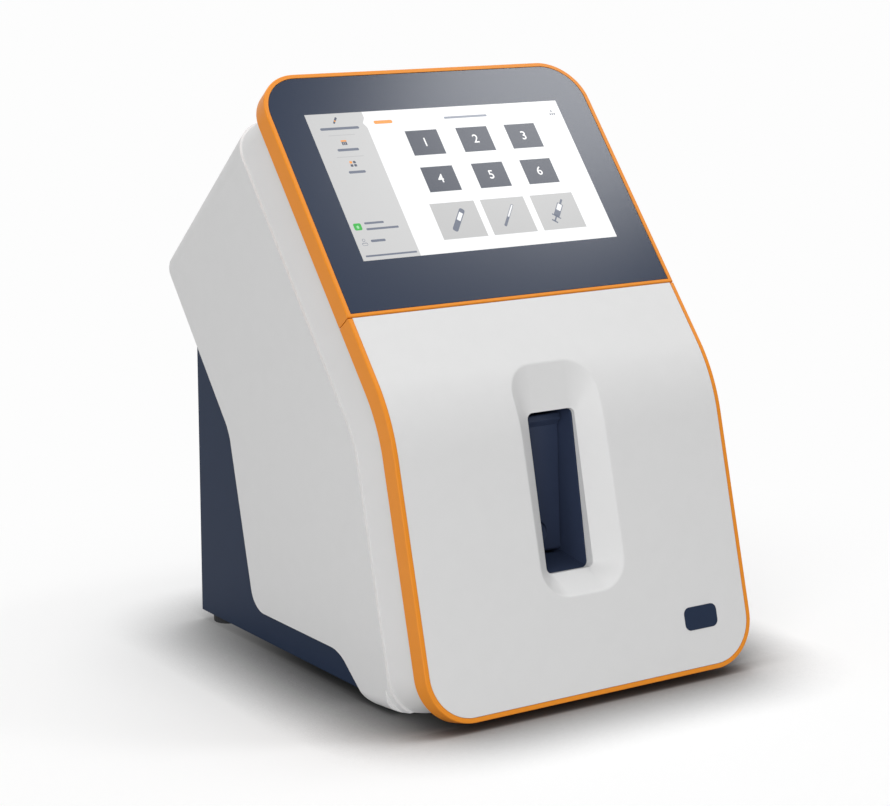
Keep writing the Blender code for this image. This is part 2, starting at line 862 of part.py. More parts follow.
def make_display():
    floor = seam_gap / 2 + bezel_bottom_lip
    outline = [inset_outline(rim_lip + inlay_gap, floor + inlay_gap)]
    glass = eased_plate(outline, -inlay_depth, -inlay_drop, inlay_gap, -inlay_drop)
    piece("display_glass", bent(glass), glass_look)
    middle = screen_bottom + screen_height / 2
    front = -inlay_depth - contact_gap
    low = (-lcd_width / 2, middle - lcd_height / 2, front - lcd_thickness)
    piece("lcd_module", block(low, (lcd_width / 2, middle + lcd_height / 2, front)), steel, display_frame)
    sheet_front = front - lcd_thickness - contact_gap
    sheet_rear = sheet_front - bracket_sheet
    foot = middle - bracket_height / 2
    outline = rounded_box(bracket_width / 2, foot, foot + bracket_height, bracket_corner, bracket_corner)
    bracket = piece("display_bracket", plate([outline], sheet_rear, sheet_front), steel, display_frame)
    half_x, half_y = bracket_window_width / 2, bracket_window_height / 2
    windows = []
    for way in (-1, 1):
        x = way * bracket_window_offset
        windows.append(block((x - half_x, middle - half_y, sheet_rear - overrun),
                             (x + half_x, middle + half_y, sheet_front + overrun)))
    cut(bracket, tool("bracket_windows", together(*windows), display_frame))
    posts = []
    for x_way in (-1, 1):
        for y_way in (-1, 1):
            x = x_way * (display_board_width / 2 - display_standoff_inset)
            y = middle + y_way * (display_board_height / 2 - display_standoff_inset)
            posts.append(rod(display_standoff_radius, sheet_rear - display_standoff_length,
                             sheet_rear + bracket_sheet / 2, small_sides, "Z", (x, y, 0)))
    join(bracket, tool("bracket_posts", together(*posts), display_frame))
    return sheet_rear, middle


def make_display_board(sheet_rear, middle):
    front = sheet_rear - display_standoff_length - contact_gap
    rear = front - display_board_sheet
    low = (-display_board_width / 2, middle - display_board_height / 2, rear)
    board = block(low, (display_board_width / 2, middle + display_board_height / 2, front))
    piece("display_board", board, board_green, display_frame)
    return rear


def make_shell():
    """The hood: a side outline given width, a rounded top, and the band that narrows towards the rims."""
    taper = (neck_inset - shell_inset) / (band_depth - neck_depth)

    def body(name, inset, front_depth):
        half = shell_half_width - inset
        outline = [[side(point) for point in shell_outline(inset, front_depth)]]
        solid = tool(name, side_plate(outline, -half, half))
        top, way, inward = shell_lines(inset)
        far = machine_width * 2
        hood = plate([rounded_box(half, -far, 0, 0, hood_edge_radius - inset)], -far, far)
        up = Vector((0, -inward.x, -inward.y))
        across = Vector((1, 0, 0))
        turn = Matrix((across, up, across.cross(up))).transposed()
        bmesh.ops.transform(hood, matrix=Matrix.Translation(world(top)) @ turn.to_4x4(), verts=hood.verts)
        combine(solid, tool(name + "_hood", hood), "INTERSECT")
        loops = []
        start, end = neck_depth - overrun, band_depth + overrun
        for outside, depth in ((True, start), (True, end), (False, end), (False, start)):
            spread = -2 * overrun if outside else shell_inset + inset + taper * (band_depth - depth)
            radius = top_corner_radius - (shell_inset + inset + taper * (band_depth - depth))
            ring = rounded_box(half_width - spread, spread - door_length, display_length - spread, radius,
                               radius)
            loops.append([(point.x, point.y, -depth) for point in ring])
        cut(solid, tool(name + "_band", bent(loft(loops, closed=True))))
        return solid

    outer = settle(body("shell_outer", 0, neck_depth))
    inner = settle(body("shell_inner", shell_wall, neck_depth - overrun / 2))
    shape = bmesh.new()
    shape.from_mesh(outer.data)
    shell = piece("shell_cover", shape, white)
    bpy.data.objects.remove(outer, do_unlink=True)
    cut(shell, inner)
    rear = base_rear_face + contact_gap - seam_setback
    crossing = meet(upper_point(0, shell_rear_upper - shell_wall), upper_way, Vector((rear, 0)),
                    Vector((0, 1)))
    behind = lower_point(0, band_depth + overrun)
    high = crossing.y + shell_wall
    under = -seam_height - overrun
    opening = [
        meet(behind, lower_way, Vector((0, high)), Vector((1, 0))),
        Vector((rear, high)),
        Vector((rear, under)),
        meet(behind, lower_way, Vector((0, under)), Vector((1, 0))),
    ]
    inside = shell_half_width - shell_wall
    cut(shell, tool("shell_opening", side_plate([[side(point) for point in opening]], -inside, inside)))
    settle(shell)
    return side(crossing).y


def make_base(panel_top):
    floor = foot_height
    rear = base_rear_face
    floor_top = Vector((0, floor + base_floor - seam_height))
    front = side(meet(lower_point(0, band_depth + overrun), lower_way, floor_top, Vector((1, 0)))).x
    front += contact_gap
    upper = upper_point(0, shell_rear_upper - wing_overlap)
    lower = lower_point(0, shell_rear_lower - wing_overlap)
    level = Vector((1, 0))
    step = Vector((0, shell_bottom + cheek_step_rise + wing_overlap))
    top = Vector((0, panel_top - seam_height))
    toe = lower_point(door_lower_length, 0).x + cheek_toe - wing_overlap
    outline = [
        (rear, floor),
        (rear, panel_top),
        side(meet(top, level, upper, upper_way)),
        side(meet(upper, upper_way, lower, lower_way)),
        side(meet(lower, lower_way, step, level)),
        side(Vector((toe + cheek_step_run, step.y))),
        side(Vector((toe, shell_bottom + wing_overlap / 2))),
        side(Vector((toe, base_floor + foot_height - seam_height))),
        (front, floor + base_floor),
        (front, floor),
    ]
    tray = piece("base_tray", side_plate([outline], -base_half_width, base_half_width), navy)
    inside = block(
        (-inner_half_width, front - overrun, floor + base_floor),
        (inner_half_width, rear + overrun, panel_top + overrun),
    )
    cut(tray, tool("base_inside", inside))
    front_y, rear_y = front + front_foot_setback, rear - foot_inset
    for word, y in (("front", front_y), ("rear", rear_y)):
        for other_word, way in (("left", -1), ("right", 1)):
            place = (way * (base_half_width - foot_inset), y, 0)
            shape = rod(foot_radius, 0, foot_height - contact_gap)
            piece(f"rubber_foot_{word}_{other_word}", shape, rubber, None, place)
    return front


def make_rear_panel(panel_top):
    rear = base_rear_face
    front = rear - rear_panel_thickness
    half = inner_half_width - contact_gap
    floor = foot_height + base_floor + contact_gap
    panel = piece("rear_panel", block((-half, front, floor), (half, rear, panel_top)), navy)
    vents = []
    for number in range(vent_count):
        z = panel_top - vent_drop - number * vent_pitch
        vents.append(block((-vent_width / 2, front - overrun, z - vent_height),
                           (vent_width / 2, rear + overrun, z)))
    cut(panel, tool("panel_vents", together(*vents)))
    holes = []
    for other_word, way in (("left", -1), ("right", 1)):
        for word, z in (("lower", floor + panel_screw_inset), ("upper", panel_top - panel_screw_inset)):
            place = (way * (half - panel_screw_inset), rear + contact_gap, z)
            name = f"panel_screw_{word}_{other_word}"
            screw = piece(name, rod(screw_head_radius, 0, screw_head_height, small_sides, "Y"), steel, None,
                          place)
            shank = rod(screw_radius, -screw_length, screw_head_height / 2, small_sides, "Y")
            join(screw, tool(name + "_shank", shank, None, place))
            holes.append(rod(screw_radius + screw_clearance, front - overrun, rear + overrun, small_sides,
                             "Y",
                             (place[0], 0, z)))
    cut(panel, tool("panel_screw_holes", together(*holes)))
    return panel


def scoop_loop(half, top, bottom, radius, depth):
    """A rounded outline on the curved front, with points down its long sides."""
    rise = -top
    fall = bend_tangent - bend_start - bend_arc - bottom
    outline = [((-half, fall), radius), ((half, fall), radius)]
    for share in long_side_shares:
        outline.append(((half, fall + (rise - fall) * share), 0))
    outline += [((half, rise), radius), ((-half, rise), radius)]
    for share in reversed(long_side_shares):
        outline.append(((-half, fall + (rise - fall) * share), 0))
    return [face_point(point.x, point.y, depth) for point in rounded(outline)]


def slot_loop(half, top, bottom, radius, top_depth, bottom_depth):
    """A rounded outline on a plane behind the lower slope."""
    outline = [((-half, -bottom), radius), ((half, -bottom), radius)]
    for share in long_side_shares:
        outline.append(((half, -bottom + (bottom - top) * share), 0))
    outline += [((half, -top), radius), ((-half, -top), radius)]
    for share in reversed(long_side_shares):
        outline.append(((-half, -bottom + (bottom - top) * share), 0))
    points = []
    for point in rounded(outline):
        depth = top_depth + (bottom_depth - top_depth) * (-point.y - top) / (bottom - top)
        points.append(world(lower_point(-point.y, depth), point.x))
    return points


def scoop_shape():
    """What is taken out of the door: the sloping scoop and the straight slot behind it."""
    rim = scoop_loop(scoop_half_width, scoop_top, scoop_bottom, scoop_corner_radius, 0)
    lip = slot_loop(slot_half_width, slot_top, slot_bottom, slot_corner_radius,
                    slot_lip_depth_top, slot_lip_depth_bottom)
    outside = [point + (point - inner) * scoop_overrun_share for point, inner in zip(rim, lip)]
    back = slot_loop(slot_half_width, slot_top, slot_bottom, slot_corner_radius,
                     slot_rear_depth_top + overrun, slot_rear_depth_bottom + overrun)
    return loft([outside, lip, back])


def scoop_boss():
    """The solid that carries the scoop's wall behind the door's skin."""
    wide = scoop_wall * 2
    rim = scoop_loop(scoop_half_width + wide / 2, scoop_top + wide / 2, scoop_bottom + wide / 2,
                     scoop_corner_radius + wide / 2, door_skin / 2)
    lip = slot_loop(slot_half_width + scoop_wall, slot_top - scoop_wall, slot_bottom + scoop_wall,
                    slot_corner_radius + scoop_wall, slot_rear_depth_top, slot_lip_depth_bottom + scoop_wall / 2)
    back = slot_loop(slot_half_width + scoop_wall, slot_top - scoop_wall, slot_bottom + scoop_wall,
                     slot_corner_radius + scoop_wall, slot_rear_depth_top + contact_gap, slot_rear_depth_bottom)
    return loft([rim, lip, back])


def make_door():
    top = -seam_gap / 2
    ring = eased_plate([door_outline(0, top)], -rim_depth, 0, rim_edge_round, 0, -rim_depth)
    rim = piece("door_frame", ring, orange)
    open_top = top + overrun
    seat = door_skin + liner_sheet + inlay_drop + contact_gap + inlay_gap
    inlay = plate([door_outline(rim_lip, open_top)], -seat, overrun)
    hollow = plate([door_outline(rim_lip, top - rim_lip)], -rim_depth - overrun, overrun)
    cut(rim, tool("rim_inlay", inlay), tool("rim_hollow", hollow))
    bent_object(rim)
    skin = eased_plate([door_outline(rim_lip + inlay_gap, top)], -door_skin - inlay_drop, -inlay_drop,
                       inlay_gap,
                       -inlay_drop)
    panel = piece("door_panel", bent(skin), white)
    join(panel, tool("scoop_boss", scoop_boss()))
    cut(panel, tool("scoop", scoop_shape()))
    front = door_skin + inlay_drop + contact_gap
    outline = door_outline(rim_lip + inlay_gap, top)
    spread = scoop_wall + liner_window_margin
    fall = bend_tangent - bend_start - bend_arc - scoop_bottom
    window = rounded_box(scoop_half_width + spread, fall - spread, -scoop_top + spread, spread, spread)
    sheet = plate([outline, window], -front - liner_sheet, -front)
    liner = piece("door_liner", bent(sheet), light_grey)
    for obj in (rim, panel, liner):
        hang(obj, door_axis)
    return liner, panel, front + liner_sheet


def make_badge(panel):
    outline = rounded_box(badge_width / 2, -badge_height / 2, badge_height / 2, badge_corner, badge_corner)
    rear = -inlay_drop + badge_proud - badge_thickness
    place = (badge_x - hinge_x, -badge_drop, hinge_depth)
    piece("badge_plate", eased_plate([outline], rear, rear + badge_thickness, inlay_gap,
                                     rear + badge_thickness),
          navy, door_axis, place)
    pocket = rounded_box(badge_width / 2 + inlay_gap, -badge_height / 2 - inlay_gap,
                         badge_height / 2 + inlay_gap,
                         badge_corner, badge_corner)
    cut(panel, tool("badge_pocket", plate([pocket], rear - contact_gap, overrun), door_axis, place))


def make_hinge(liner, liner_rear):
    """Two lugs on the door, a pin through them and a bracket on the machine, at two heights."""
    lug_rear = -knuckle_radius
    lug_front = hinge_depth - liner_rear + liner_sheet / 2
    for word, drop in (("upper", hinge_upper_drop), ("lower", hinge_lower_drop)):
        lugs = []
        for way in (-1, 1):
            near = way * (knuckle_height / 2 + contact_gap)
            far = way * (knuckle_height / 2 + contact_gap + lug_height)
            low, high = min(near, far) - drop, max(near, far) - drop
            lugs.append(block((-knuckle_radius, low, lug_rear), (knuckle_radius, high, lug_front)))
        join(liner, tool("lugs_" + word, together(*lugs), door_axis))
        hole = rod(hinge_pin_radius + hinge_pin_clearance, -drop - knuckle_height * 2,
                   -drop + knuckle_height * 2,
                   small_sides, "Y")
        cut(liner, tool("lug_hole_" + word, hole, door_axis))
        half = knuckle_height / 2 + contact_gap
        notch = block((-hinge_inset, -drop - half, 0),
                      (hinge_arm_reach + hinge_leg + contact_gap, -drop + half, hinge_depth))
        cut(liner, tool("liner_notch_" + word, notch, door_axis))
        reach = knuckle_height / 2 + contact_gap + lug_height
        pin = rod(hinge_pin_radius, -reach, reach, small_sides, "Y")
        piece("hinge_pin_" + word, pin, steel, door_axis, (0, -drop, 0))
        make_hinge_bracket(word, drop)


def make_hinge_bracket(word, drop):
    half = knuckle_height / 2
    knuckle = rod(knuckle_radius, -half, half, small_sides, "Y")
    place = (hinge_x, -drop, -hinge_depth)
    bracket = piece("hinge_bracket_" + word, knuckle, steel, lower_frame, place)
    leg_right = hinge_arm_reach + hinge_leg
    foot_rear = hinge_depth - neck_depth + contact_gap
    arm_front = hinge_arm * hinge_arm_front_share
    arm = block((0, -half, arm_front - hinge_arm), (leg_right, half, arm_front))
    leg = block((hinge_arm_reach, -half, foot_rear), (leg_right, half, hinge_arm / 2))
    foot_right = hinge_arm_reach + hinge_foot_width
    foot = block((hinge_arm_reach, -hinge_foot_height / 2, foot_rear),
                 (foot_right, hinge_foot_height / 2, foot_rear + hinge_foot_sheet))
    name = "bracket_" + word
    join(bracket, tool(name + "_arm", arm, lower_frame, place), tool(name + "_leg", leg, lower_frame, place))
    join(bracket, tool(name + "_foot", foot, lower_frame, place))
    bore = rod(hinge_pin_radius + hinge_pin_clearance, -knuckle_height, knuckle_height, small_sides, "Y")
    cut(bracket, tool(name + "_bore", bore, lower_frame, place))


def make_catch(liner_rear):
    """A magnet bar on the machine and a steel strip on the door, both drawn on the lower slope."""
    rear = contact_gap - neck_depth
    low = (magnet_x - magnet_width / 2, -catch_drop - magnet_height / 2, rear)
    high = (magnet_x + magnet_width / 2, -catch_drop + magnet_height / 2, rear + magnet_length)
    piece("door_magnet", eased(block(low, high), rim_edge_round), black, lower_frame)
    low = (magnet_x - striker_width / 2, -catch_drop - striker_height / 2, high[2] + contact_gap)
    high = (magnet_x + striker_width / 2, -catch_drop + striker_height / 2, -liner_rear - contact_gap)
    piece("door_striker", block(low, high), steel, door_axis, (-hinge_x, 0, hinge_depth))


def make_bay_frame():
    """The curved inner plate behind the door, with windows for the tub, the inlet and the pack."""
    taper = (neck_inset - shell_inset) / (band_depth - neck_depth)
    inset = neck_inset + shell_wall + plate_side_gap + taper * plate_sheet
    bottom = inset - door_length
    outline = rounded_box(half_width - inset, bottom, plate_top, plate_corner, 0)
    sheet = plate([outline], -neck_depth - plate_sheet, -neck_depth)
    bay = piece("bay_frame", bent(sheet), light_grey)
    near, far = -neck_depth - plate_sheet - overrun, -neck_depth + overrun
    inlet_half = inlet_half_width + inlet_wall + inlet_window_gap
    inlet_low = inlet_floor_front + inlet_wall + inlet_window_gap
    windows = [
        block((-tray_window_left, -tray_window_bottom, near), (-tray_window_right, -tray_window_top, far)),
        block((-inlet_half, -inlet_low, near), (inlet_half, -inlet_top + inlet_wall + inlet_window_gap,
                                                far + overrun)),
        block((pack_window_left, -pack_window_bottom, near), (pack_window_right, -pack_window_top, far)),
    ]
    cut(bay, tool("bay_windows", together(*windows), lower_frame))


def make_inlet():
    """The dark pocket behind the slot, drawn in the side view as drop and height over the lower slope."""
    front_top = slot_rear_depth_top + inlet_front_gap
    front_bottom = slot_rear_depth_bottom + inlet_front_gap
    top, bottom = inlet_top - inlet_wall, inlet_floor_front + inlet_wall
    outer = [
        (-bottom, -front_bottom),
        (-top, -front_top),
        (-top, -inlet_rear_depth_top - inlet_wall),
        (-bottom, -inlet_rear_depth_bottom - inlet_wall),
    ]
    inner = [
        (-inlet_floor_front, overrun),
        (-inlet_top, overrun),
        (-inlet_top, -inlet_rear_depth_top),
        (-inlet_floor_rear, -inlet_rear_depth_bottom),
        (-inlet_floor_rear, -inlet_ledge_depth),
        (-inlet_floor_front, -front_bottom),
    ]
    half = inlet_half_width + inlet_wall
    housing = piece("inlet_housing", side_plate([outer], -half, half), dark_navy, lower_frame)
    cut(housing, tool("inlet_inside", side_plate([inner], -inlet_half_width, inlet_half_width), lower_frame))
    bore = rod(inlet_pin_radius + inlet_pin_clearance, -half - overrun, half + overrun, small_sides, "X")
    pivot = (0, -flap_pivot_drop, -flap_pivot_depth)
    cut(housing, tool("inlet_pin_bore", bore, lower_frame, pivot))
    flap_axis = frame("flap_axis", pivot, 0, lower_frame)
    make_flap(flap_axis, half)
    return make_probe(housing)


def make_flap(axis, housing_half):
    """The tall flap, its round port and its pin. The outline is seen from the pivot."""
    rise = flap_pivot_drop - flap_top
    lean = flap_pivot_depth - flap_thickness / 2 - flap_front_depth_top
    half = flap_thickness / 2
    heel = flap_thickness * flap_heel_share
    outline = rounded([
        ((-heel, half), half * full_round_share),
        ((-heel, -half), half * full_round_share),
        ((rise, lean - half), 0),
        ((rise, lean + half + flap_grip), half / 2),
        ((rise - flap_grip_height, lean + half + flap_grip), half / 2),
        ((rise - flap_grip_height - flap_grip, lean + half - flap_grip * lean / rise), 0),
    ])
    flap = piece("inlet_flap", side_plate([outline], -flap_half_width, flap_half_width), dark_navy, axis)
    bore = rod(inlet_pin_radius + inlet_pin_clearance, -flap_half_width * 2, flap_half_width * 2,
               small_sides, "X")
    cut(flap, tool("flap_bore", bore, axis))
    up = flap_pivot_drop - port_drop
    face = half + lean * up / rise
    tilt = Matrix.Rotation(-lean / rise, 3, "X")
    seat = rod(port_radius + contact_gap, -port_length + port_proud - contact_gap, overrun, round_sides)
    through = rod(port_bore + contact_gap, -flap_thickness * 2, overrun, small_sides)
    ring = rod(port_radius, -port_length + port_proud, port_proud, round_sides)
    bore = rod(port_bore, -flap_thickness, overrun, small_sides)
    for shape in (seat, through, ring, bore):
        bmesh.ops.rotate(shape, cent=(0, 0, 0), matrix=tilt, verts=shape.verts)
    place = (0, up, face)
    cut(flap, tool("port_seat", seat, axis, place), tool("port_way", through, axis, place))
    port = piece("inlet_port", ring, silicone, axis, place)
    cut(port, tool("port_bore", bore, axis, place))
    pin_half = housing_half - contact_gap
    piece("inlet_pin", rod(inlet_pin_radius, -pin_half, pin_half, small_sides, "X"), steel, axis)


def make_probe(housing):
    """The needle behind the flap, on a hub that sits in the housing's rear wall."""
    rear_share = (port_drop - inlet_top) / (inlet_floor_rear - inlet_top)
    wall = inlet_rear_depth_top + (inlet_rear_depth_bottom - inlet_rear_depth_top) * rear_share
    lean = flap_pivot_depth - flap_thickness / 2 - flap_front_depth_top
    flap_rear = flap_front_depth_pivot + flap_thickness
    flap_rear -= lean * (flap_pivot_drop - port_drop) / (flap_pivot_drop - flap_top)
    tip = -flap_rear - probe_tip_gap
    hub_front = -wall + probe_hub_length
    probe = piece("sample_probe", rod(probe_hub_radius, -wall + contact_gap + inlet_wall / 2, hub_front,
                                      small_sides),
                  steel, lower_frame, (0, -port_drop, 0))
    tail = -wall - inlet_wall * 2 - probe_tail_length
    place = (0, -port_drop, 0)
    join(probe, tool("probe_needle", rod(probe_radius, hub_front - overrun, tip, small_sides), lower_frame,
                     place))
    join(probe, tool("probe_tail", rod(probe_tail_radius, tail, hub_front - overrun, small_sides),
                     lower_frame, place))
    hole = rod(probe_tail_radius + contact_gap, tail, hub_front, small_sides)
    cut(housing, tool("probe_hole", hole, lower_frame, place))
    return Vector((0, -port_drop, tail))


def make_tub():
    """The open tub behind the left window, with the dock, the cartridge and its lock."""
    gap = contact_gap
    outer = block(
        (-tray_window_left - tub_wall, -tray_window_bottom - tub_wall, tub_rear),
        (-tray_window_right + tub_wall, -tray_window_top + tub_wall, tub_front),
    )
    tub = piece("module_tray", outer, grey, lower_frame)
    inner = block(
        (-tray_window_left, -tray_window_bottom, tub_rear + tub_wall),
        (-tray_window_right, -tray_window_top, tub_front + overrun),
    )
    shaft_hole = rod(shaft_radius * 2, tub_rear - overrun, tub_rear + tub_wall + overrun, round_sides, "Z",
                     (-sensor_x, -pump_drop, 0))
    stub_hole = rod(dock_stub_radius + gap, tub_rear - overrun, tub_rear + tub_wall + overrun, small_sides,
                    "Z",
                    (-dock_stub_x, -dock_stub_drop, 0))
    cut(tub, tool("tub_inside", inner, lower_frame))
    cut(tub, tool("tub_holes", together(shaft_hole, stub_hole), lower_frame))
    rear = tub_rear + tub_wall + gap
    low = (-sensor_x - dock_half_width, -dock_bottom, rear)
    dock_front = rear + dock_depth
    dock = piece("sensor_dock", block(low, (-sensor_x + dock_half_width, -dock_top, dock_front)), aluminium,
                 lower_frame)
    stub = rod(dock_stub_radius, rear - dock_stub_length, rear + dock_depth / 2, small_sides, "Z",
               (-dock_stub_x, -dock_stub_drop, 0))
    join(dock, tool("dock_stub", stub, lower_frame))
    make_cartridge(dock_front + gap)
    make_lock(rear, dock_front + gap + cartridge_depth + gap)
    return Vector((-dock_stub_x, -dock_stub_drop, rear - dock_stub_length))


def make_cartridge(rear):
    """The measuring cartridge, with a strip of electrodes let into its front."""
    front = rear + cartridge_depth
    low = (-sensor_x - cartridge_half_width, -dock_bottom, rear)
    shape = block(low, (-sensor_x + cartridge_half_width, -dock_top, front))
    cartridge = piece("sensor_cartridge", eased(shape, rim_edge_round), light_grey, lower_frame)
    centre = (-sensor_x, -(dock_top + dock_bottom) / 2, front - strip_sink)
    half_x, half_y = strip_width / 2, strip_height / 2
    room_x, room_y = half_x + contact_gap, half_y + contact_gap
    pocket = block((-room_x, -room_y, -strip_sheet - contact_gap), (room_x, room_y, strip_sink + overrun))
    cut(cartridge, tool("strip_pocket", pocket, lower_frame, centre))
    strip = piece("electrode_strip", block((-half_x, -half_y, -strip_sheet), (half_x, half_y, 0)), gold,
                  lower_frame, centre)
    studs = []
    for column in range(electrode_columns):
        for row in range(electrode_rows):
            x = (column - (electrode_columns - 1) / 2) * electrode_pitch_x
            y = (row - (electrode_rows - 1) / 2) * electrode_pitch_y
            studs.append(rod(electrode_radius, -strip_sheet / 2, strip_sink, small_sides, "Z", (x, y, 0)))
    join(strip, tool("electrode_studs", together(*studs), lower_frame, centre))


def make_lock(post_rear, wing_rear):
    axis = frame("lock_axis", (-sensor_x, -lock_drop, 0), 0, lower_frame)
    lock = piece("cartridge_lock", rod(lock_post_radius, post_rear, wing_rear + lock_wing_thickness / 2,
                                       small_sides),
                 orange, axis)
    long, wide = lock_wing_length / 2, lock_wing_width / 2
    outline = rounded_box(wide, -long, long, wide * full_round_share, wide * full_round_share)
    join(lock, tool("lock_wing", plate([outline], wing_rear, wing_rear + lock_wing_thickness), axis))


def make_pump():
    rear = tub_rear + tub_wall + contact_gap
    front = rear + pump_body_depth
    centre = (-sensor_x, -pump_drop, 0)
    low = (-pump_half_size, -pump_half_size, rear)
    body = block(low, (pump_half_size, pump_half_size, front))
    housing = piece("pump_housing", body, light_grey, lower_frame, centre)
    bore = rod(pump_track_radius, rear - overrun, front + overrun, round_sides * 2)
    channel = block((-pump_track_radius, 0, rear - overrun),
                    (pump_track_radius, pump_half_size + overrun, front + overrun))
    cut(housing, tool("pump_bore", bore, lower_frame, centre),
        tool("pump_channel", channel, lower_frame, centre))
    disc = rear + 2 * contact_gap
    roller_low = disc + rotor_disc_sheet + contact_gap
    roller_high = roller_low + roller_length
    top_disc = roller_high + contact_gap
    axis = frame("pump_axis", centre, 0, lower_frame)
    hub = rod(rotor_hub_radius, disc, top_disc + rotor_disc_sheet, round_sides)
    rotor = piece("pump_rotor", hub, black, axis)
    discs = together(
        rod(rotor_disc_radius, disc, disc + rotor_disc_sheet, round_sides),
        rod(rotor_disc_radius, top_disc, top_disc + rotor_disc_sheet, round_sides),
    )
    join(rotor, tool("rotor_discs", discs, axis))
    knob = rod(rotor_knob_radius, top_disc, top_disc + rotor_disc_sheet + rotor_knob_length, round_sides)
    shaft = rod(shaft_radius, tub_rear - contact_gap - shaft_length, disc + rotor_disc_sheet, round_sides)
    join(rotor, tool("rotor_knob", knob, axis), tool("rotor_shaft", shaft, axis))
    pins = []
    for number in range(roller_count):
        angle = 2 * pi * number / roller_count + pi / 2
        place = (roller_orbit * cos(angle), roller_orbit * sin(angle), 0)
        pins.append(rod(roller_pin_radius, disc + rotor_disc_sheet / 2, top_disc + rotor_disc_sheet / 2,
                        small_sides, "Z", place))
        own = frame(f"roller_axis_{number + 1}", place, 0, axis)
        roller = piece(f"pump_roller_{number + 1}", rod(roller_radius, roller_low, roller_high,
                                                        round_sides), white,
                       own)
        hole = rod(roller_pin_radius + roller_clearance, disc, top_disc, small_sides)
        cut(roller, tool(f"roller_hole_{number + 1}", hole, own))
    join(rotor, tool("rotor_pins", together(*pins), axis))
    make_motor(centre)
    make_pump_tube(centre, (roller_low + roller_high) / 2)


def make_motor(centre):
    front = tub_rear - contact_gap
    half = motor_size / 2
    outline = rounded_box(half, -half, half, motor_corner, motor_corner, 3)
    motor = piece("pump_motor", plate([outline], front - motor_length, front), black, lower_frame, centre)
    bore = rod(shaft_radius + shaft_clearance, front - shaft_length - contact_gap, front + overrun,
               round_sides)
    cut(motor, tool("motor_bore", bore, lower_frame, centre))


def make_pump_tube(centre, height):
    """Down beside the rotor, half round it in the track, and up again to the dock."""
    reach = pump_track_radius - contact_gap - tube_radius
    top = pump_drop - dock_bottom - contact_gap
    straight_shares = (1.0, 0.75, 0.5, 0.25)
    points = [(-reach, top * share, height) for share in straight_shares]
    turns = round_sides
    for step in range(turns + 1):
        angle = pi + pi * step / turns
        points.append((reach * cos(angle), reach * sin(angle), height))
    points += [(reach, top * share, height) for share in reversed(straight_shares)]
    tube = wire("pump_tube", points, tube_radius, silicone, lower_frame)
    tube.location = centre


def make_pack(base_front):
    """The compartment behind the right window, the pack in it and the connector block behind both."""
    gap = contact_gap
    left, right = pack_window_left - gap, pack_window_right + gap
    front = lower_place.y - machine_width
    bay = piece("pack_bay", block((left - pack_wall, front, pack_bay_floor - pack_wall),
                                  (right + pack_wall, pack_bay_rear + pack_wall,
                                   pack_bay_top + pack_wall)), grey)
    cut(bay, tool("pack_bay_inside", block((left, front - overrun, pack_bay_floor),
                                           (right, pack_bay_rear, pack_bay_top))))
    skids = []
    skid_floor = foot_height + base_floor + gap
    for x in (left, right - pack_skid_width):
        skids.append(block((x, base_front + gap, skid_floor),
                           (x + pack_skid_width, pack_bay_rear, pack_bay_floor - pack_wall / 2)))
    join(bay, tool("pack_skids", together(*skids)))
    far = machine_width
    bay_front = -neck_depth - plate_sheet - gap
    cut(bay, tool("pack_bay_front", block((-far, -far * 2, bay_front), (far, far, far)), lower_frame))
    own = frame("pack_axis", (0, pack_bay_rear, pack_bay_floor))
    low = (pack_window_left + pack_side_gap, front, pack_bay_floor + gap)
    high = (pack_window_right - pack_side_gap, pack_bay_rear - pack_rear_gap, pack_bay_top - pack_side_gap)
    pack = piece("fluid_pack", eased(block(low, high), pack_edge_round), white)
    cut(pack, tool("fluid_pack_front", block((-far, -far * 2, -pack_front_depth), (far, far, far)),
                   lower_frame))
    middle = (pack_window_left + pack_window_right) / 2
    tab = block(
        (middle - pack_tab_width / 2, -pack_tab_drop - pack_tab_height / 2, -pack_front_depth - overrun),
        (middle + pack_tab_width / 2, -pack_tab_drop + pack_tab_height / 2,
         -pack_front_depth + pack_tab_sheet),
    )
    join(pack, tool("fluid_pack_tab", tab, lower_frame))
    hang(pack, own)
    make_manifold(middle)


def make_manifold(middle):
    low_z = (pack_bay_floor + pack_bay_top - manifold_height) / 2
    near = pack_bay_rear + pack_wall + contact_gap
    manifold = piece("pack_manifold", block((middle - manifold_width / 2, near, low_z),
                                            (middle + manifold_width / 2, near + manifold_depth,
                                             low_z + manifold_height)), grey)
    barbs = []
    for number in range(barb_count):
        z = low_z + manifold_height / 2 + (number - (barb_count - 1) / 2) * barb_pitch
        barbs.append(rod(barb_radius, near + manifold_depth / 2, near + manifold_depth + barb_length,
                         small_sides,
                         "Y", (middle, 0, z)))
    join(manifold, tool("manifold_barbs", together(*barbs)))


def make_sample_line(start, end):
    """From the probe's tail behind the housing over to the dock's stub."""
    gap = Vector((0, 0, contact_gap))
    first, last = start - gap * 2, end - gap * 2
    points = [start - gap]
    for step in range(line_points + 1):
        share = step / line_points
        angle = pi * share
        middle = first.lerp(last, (1 - cos(angle)) / 2)
        points.append(middle - Vector((0, 0, line_rise * sin(angle) + line_stub)))
    points.append(end - gap)
    wire("sample_line", points, line_radius, silicone, lower_frame)


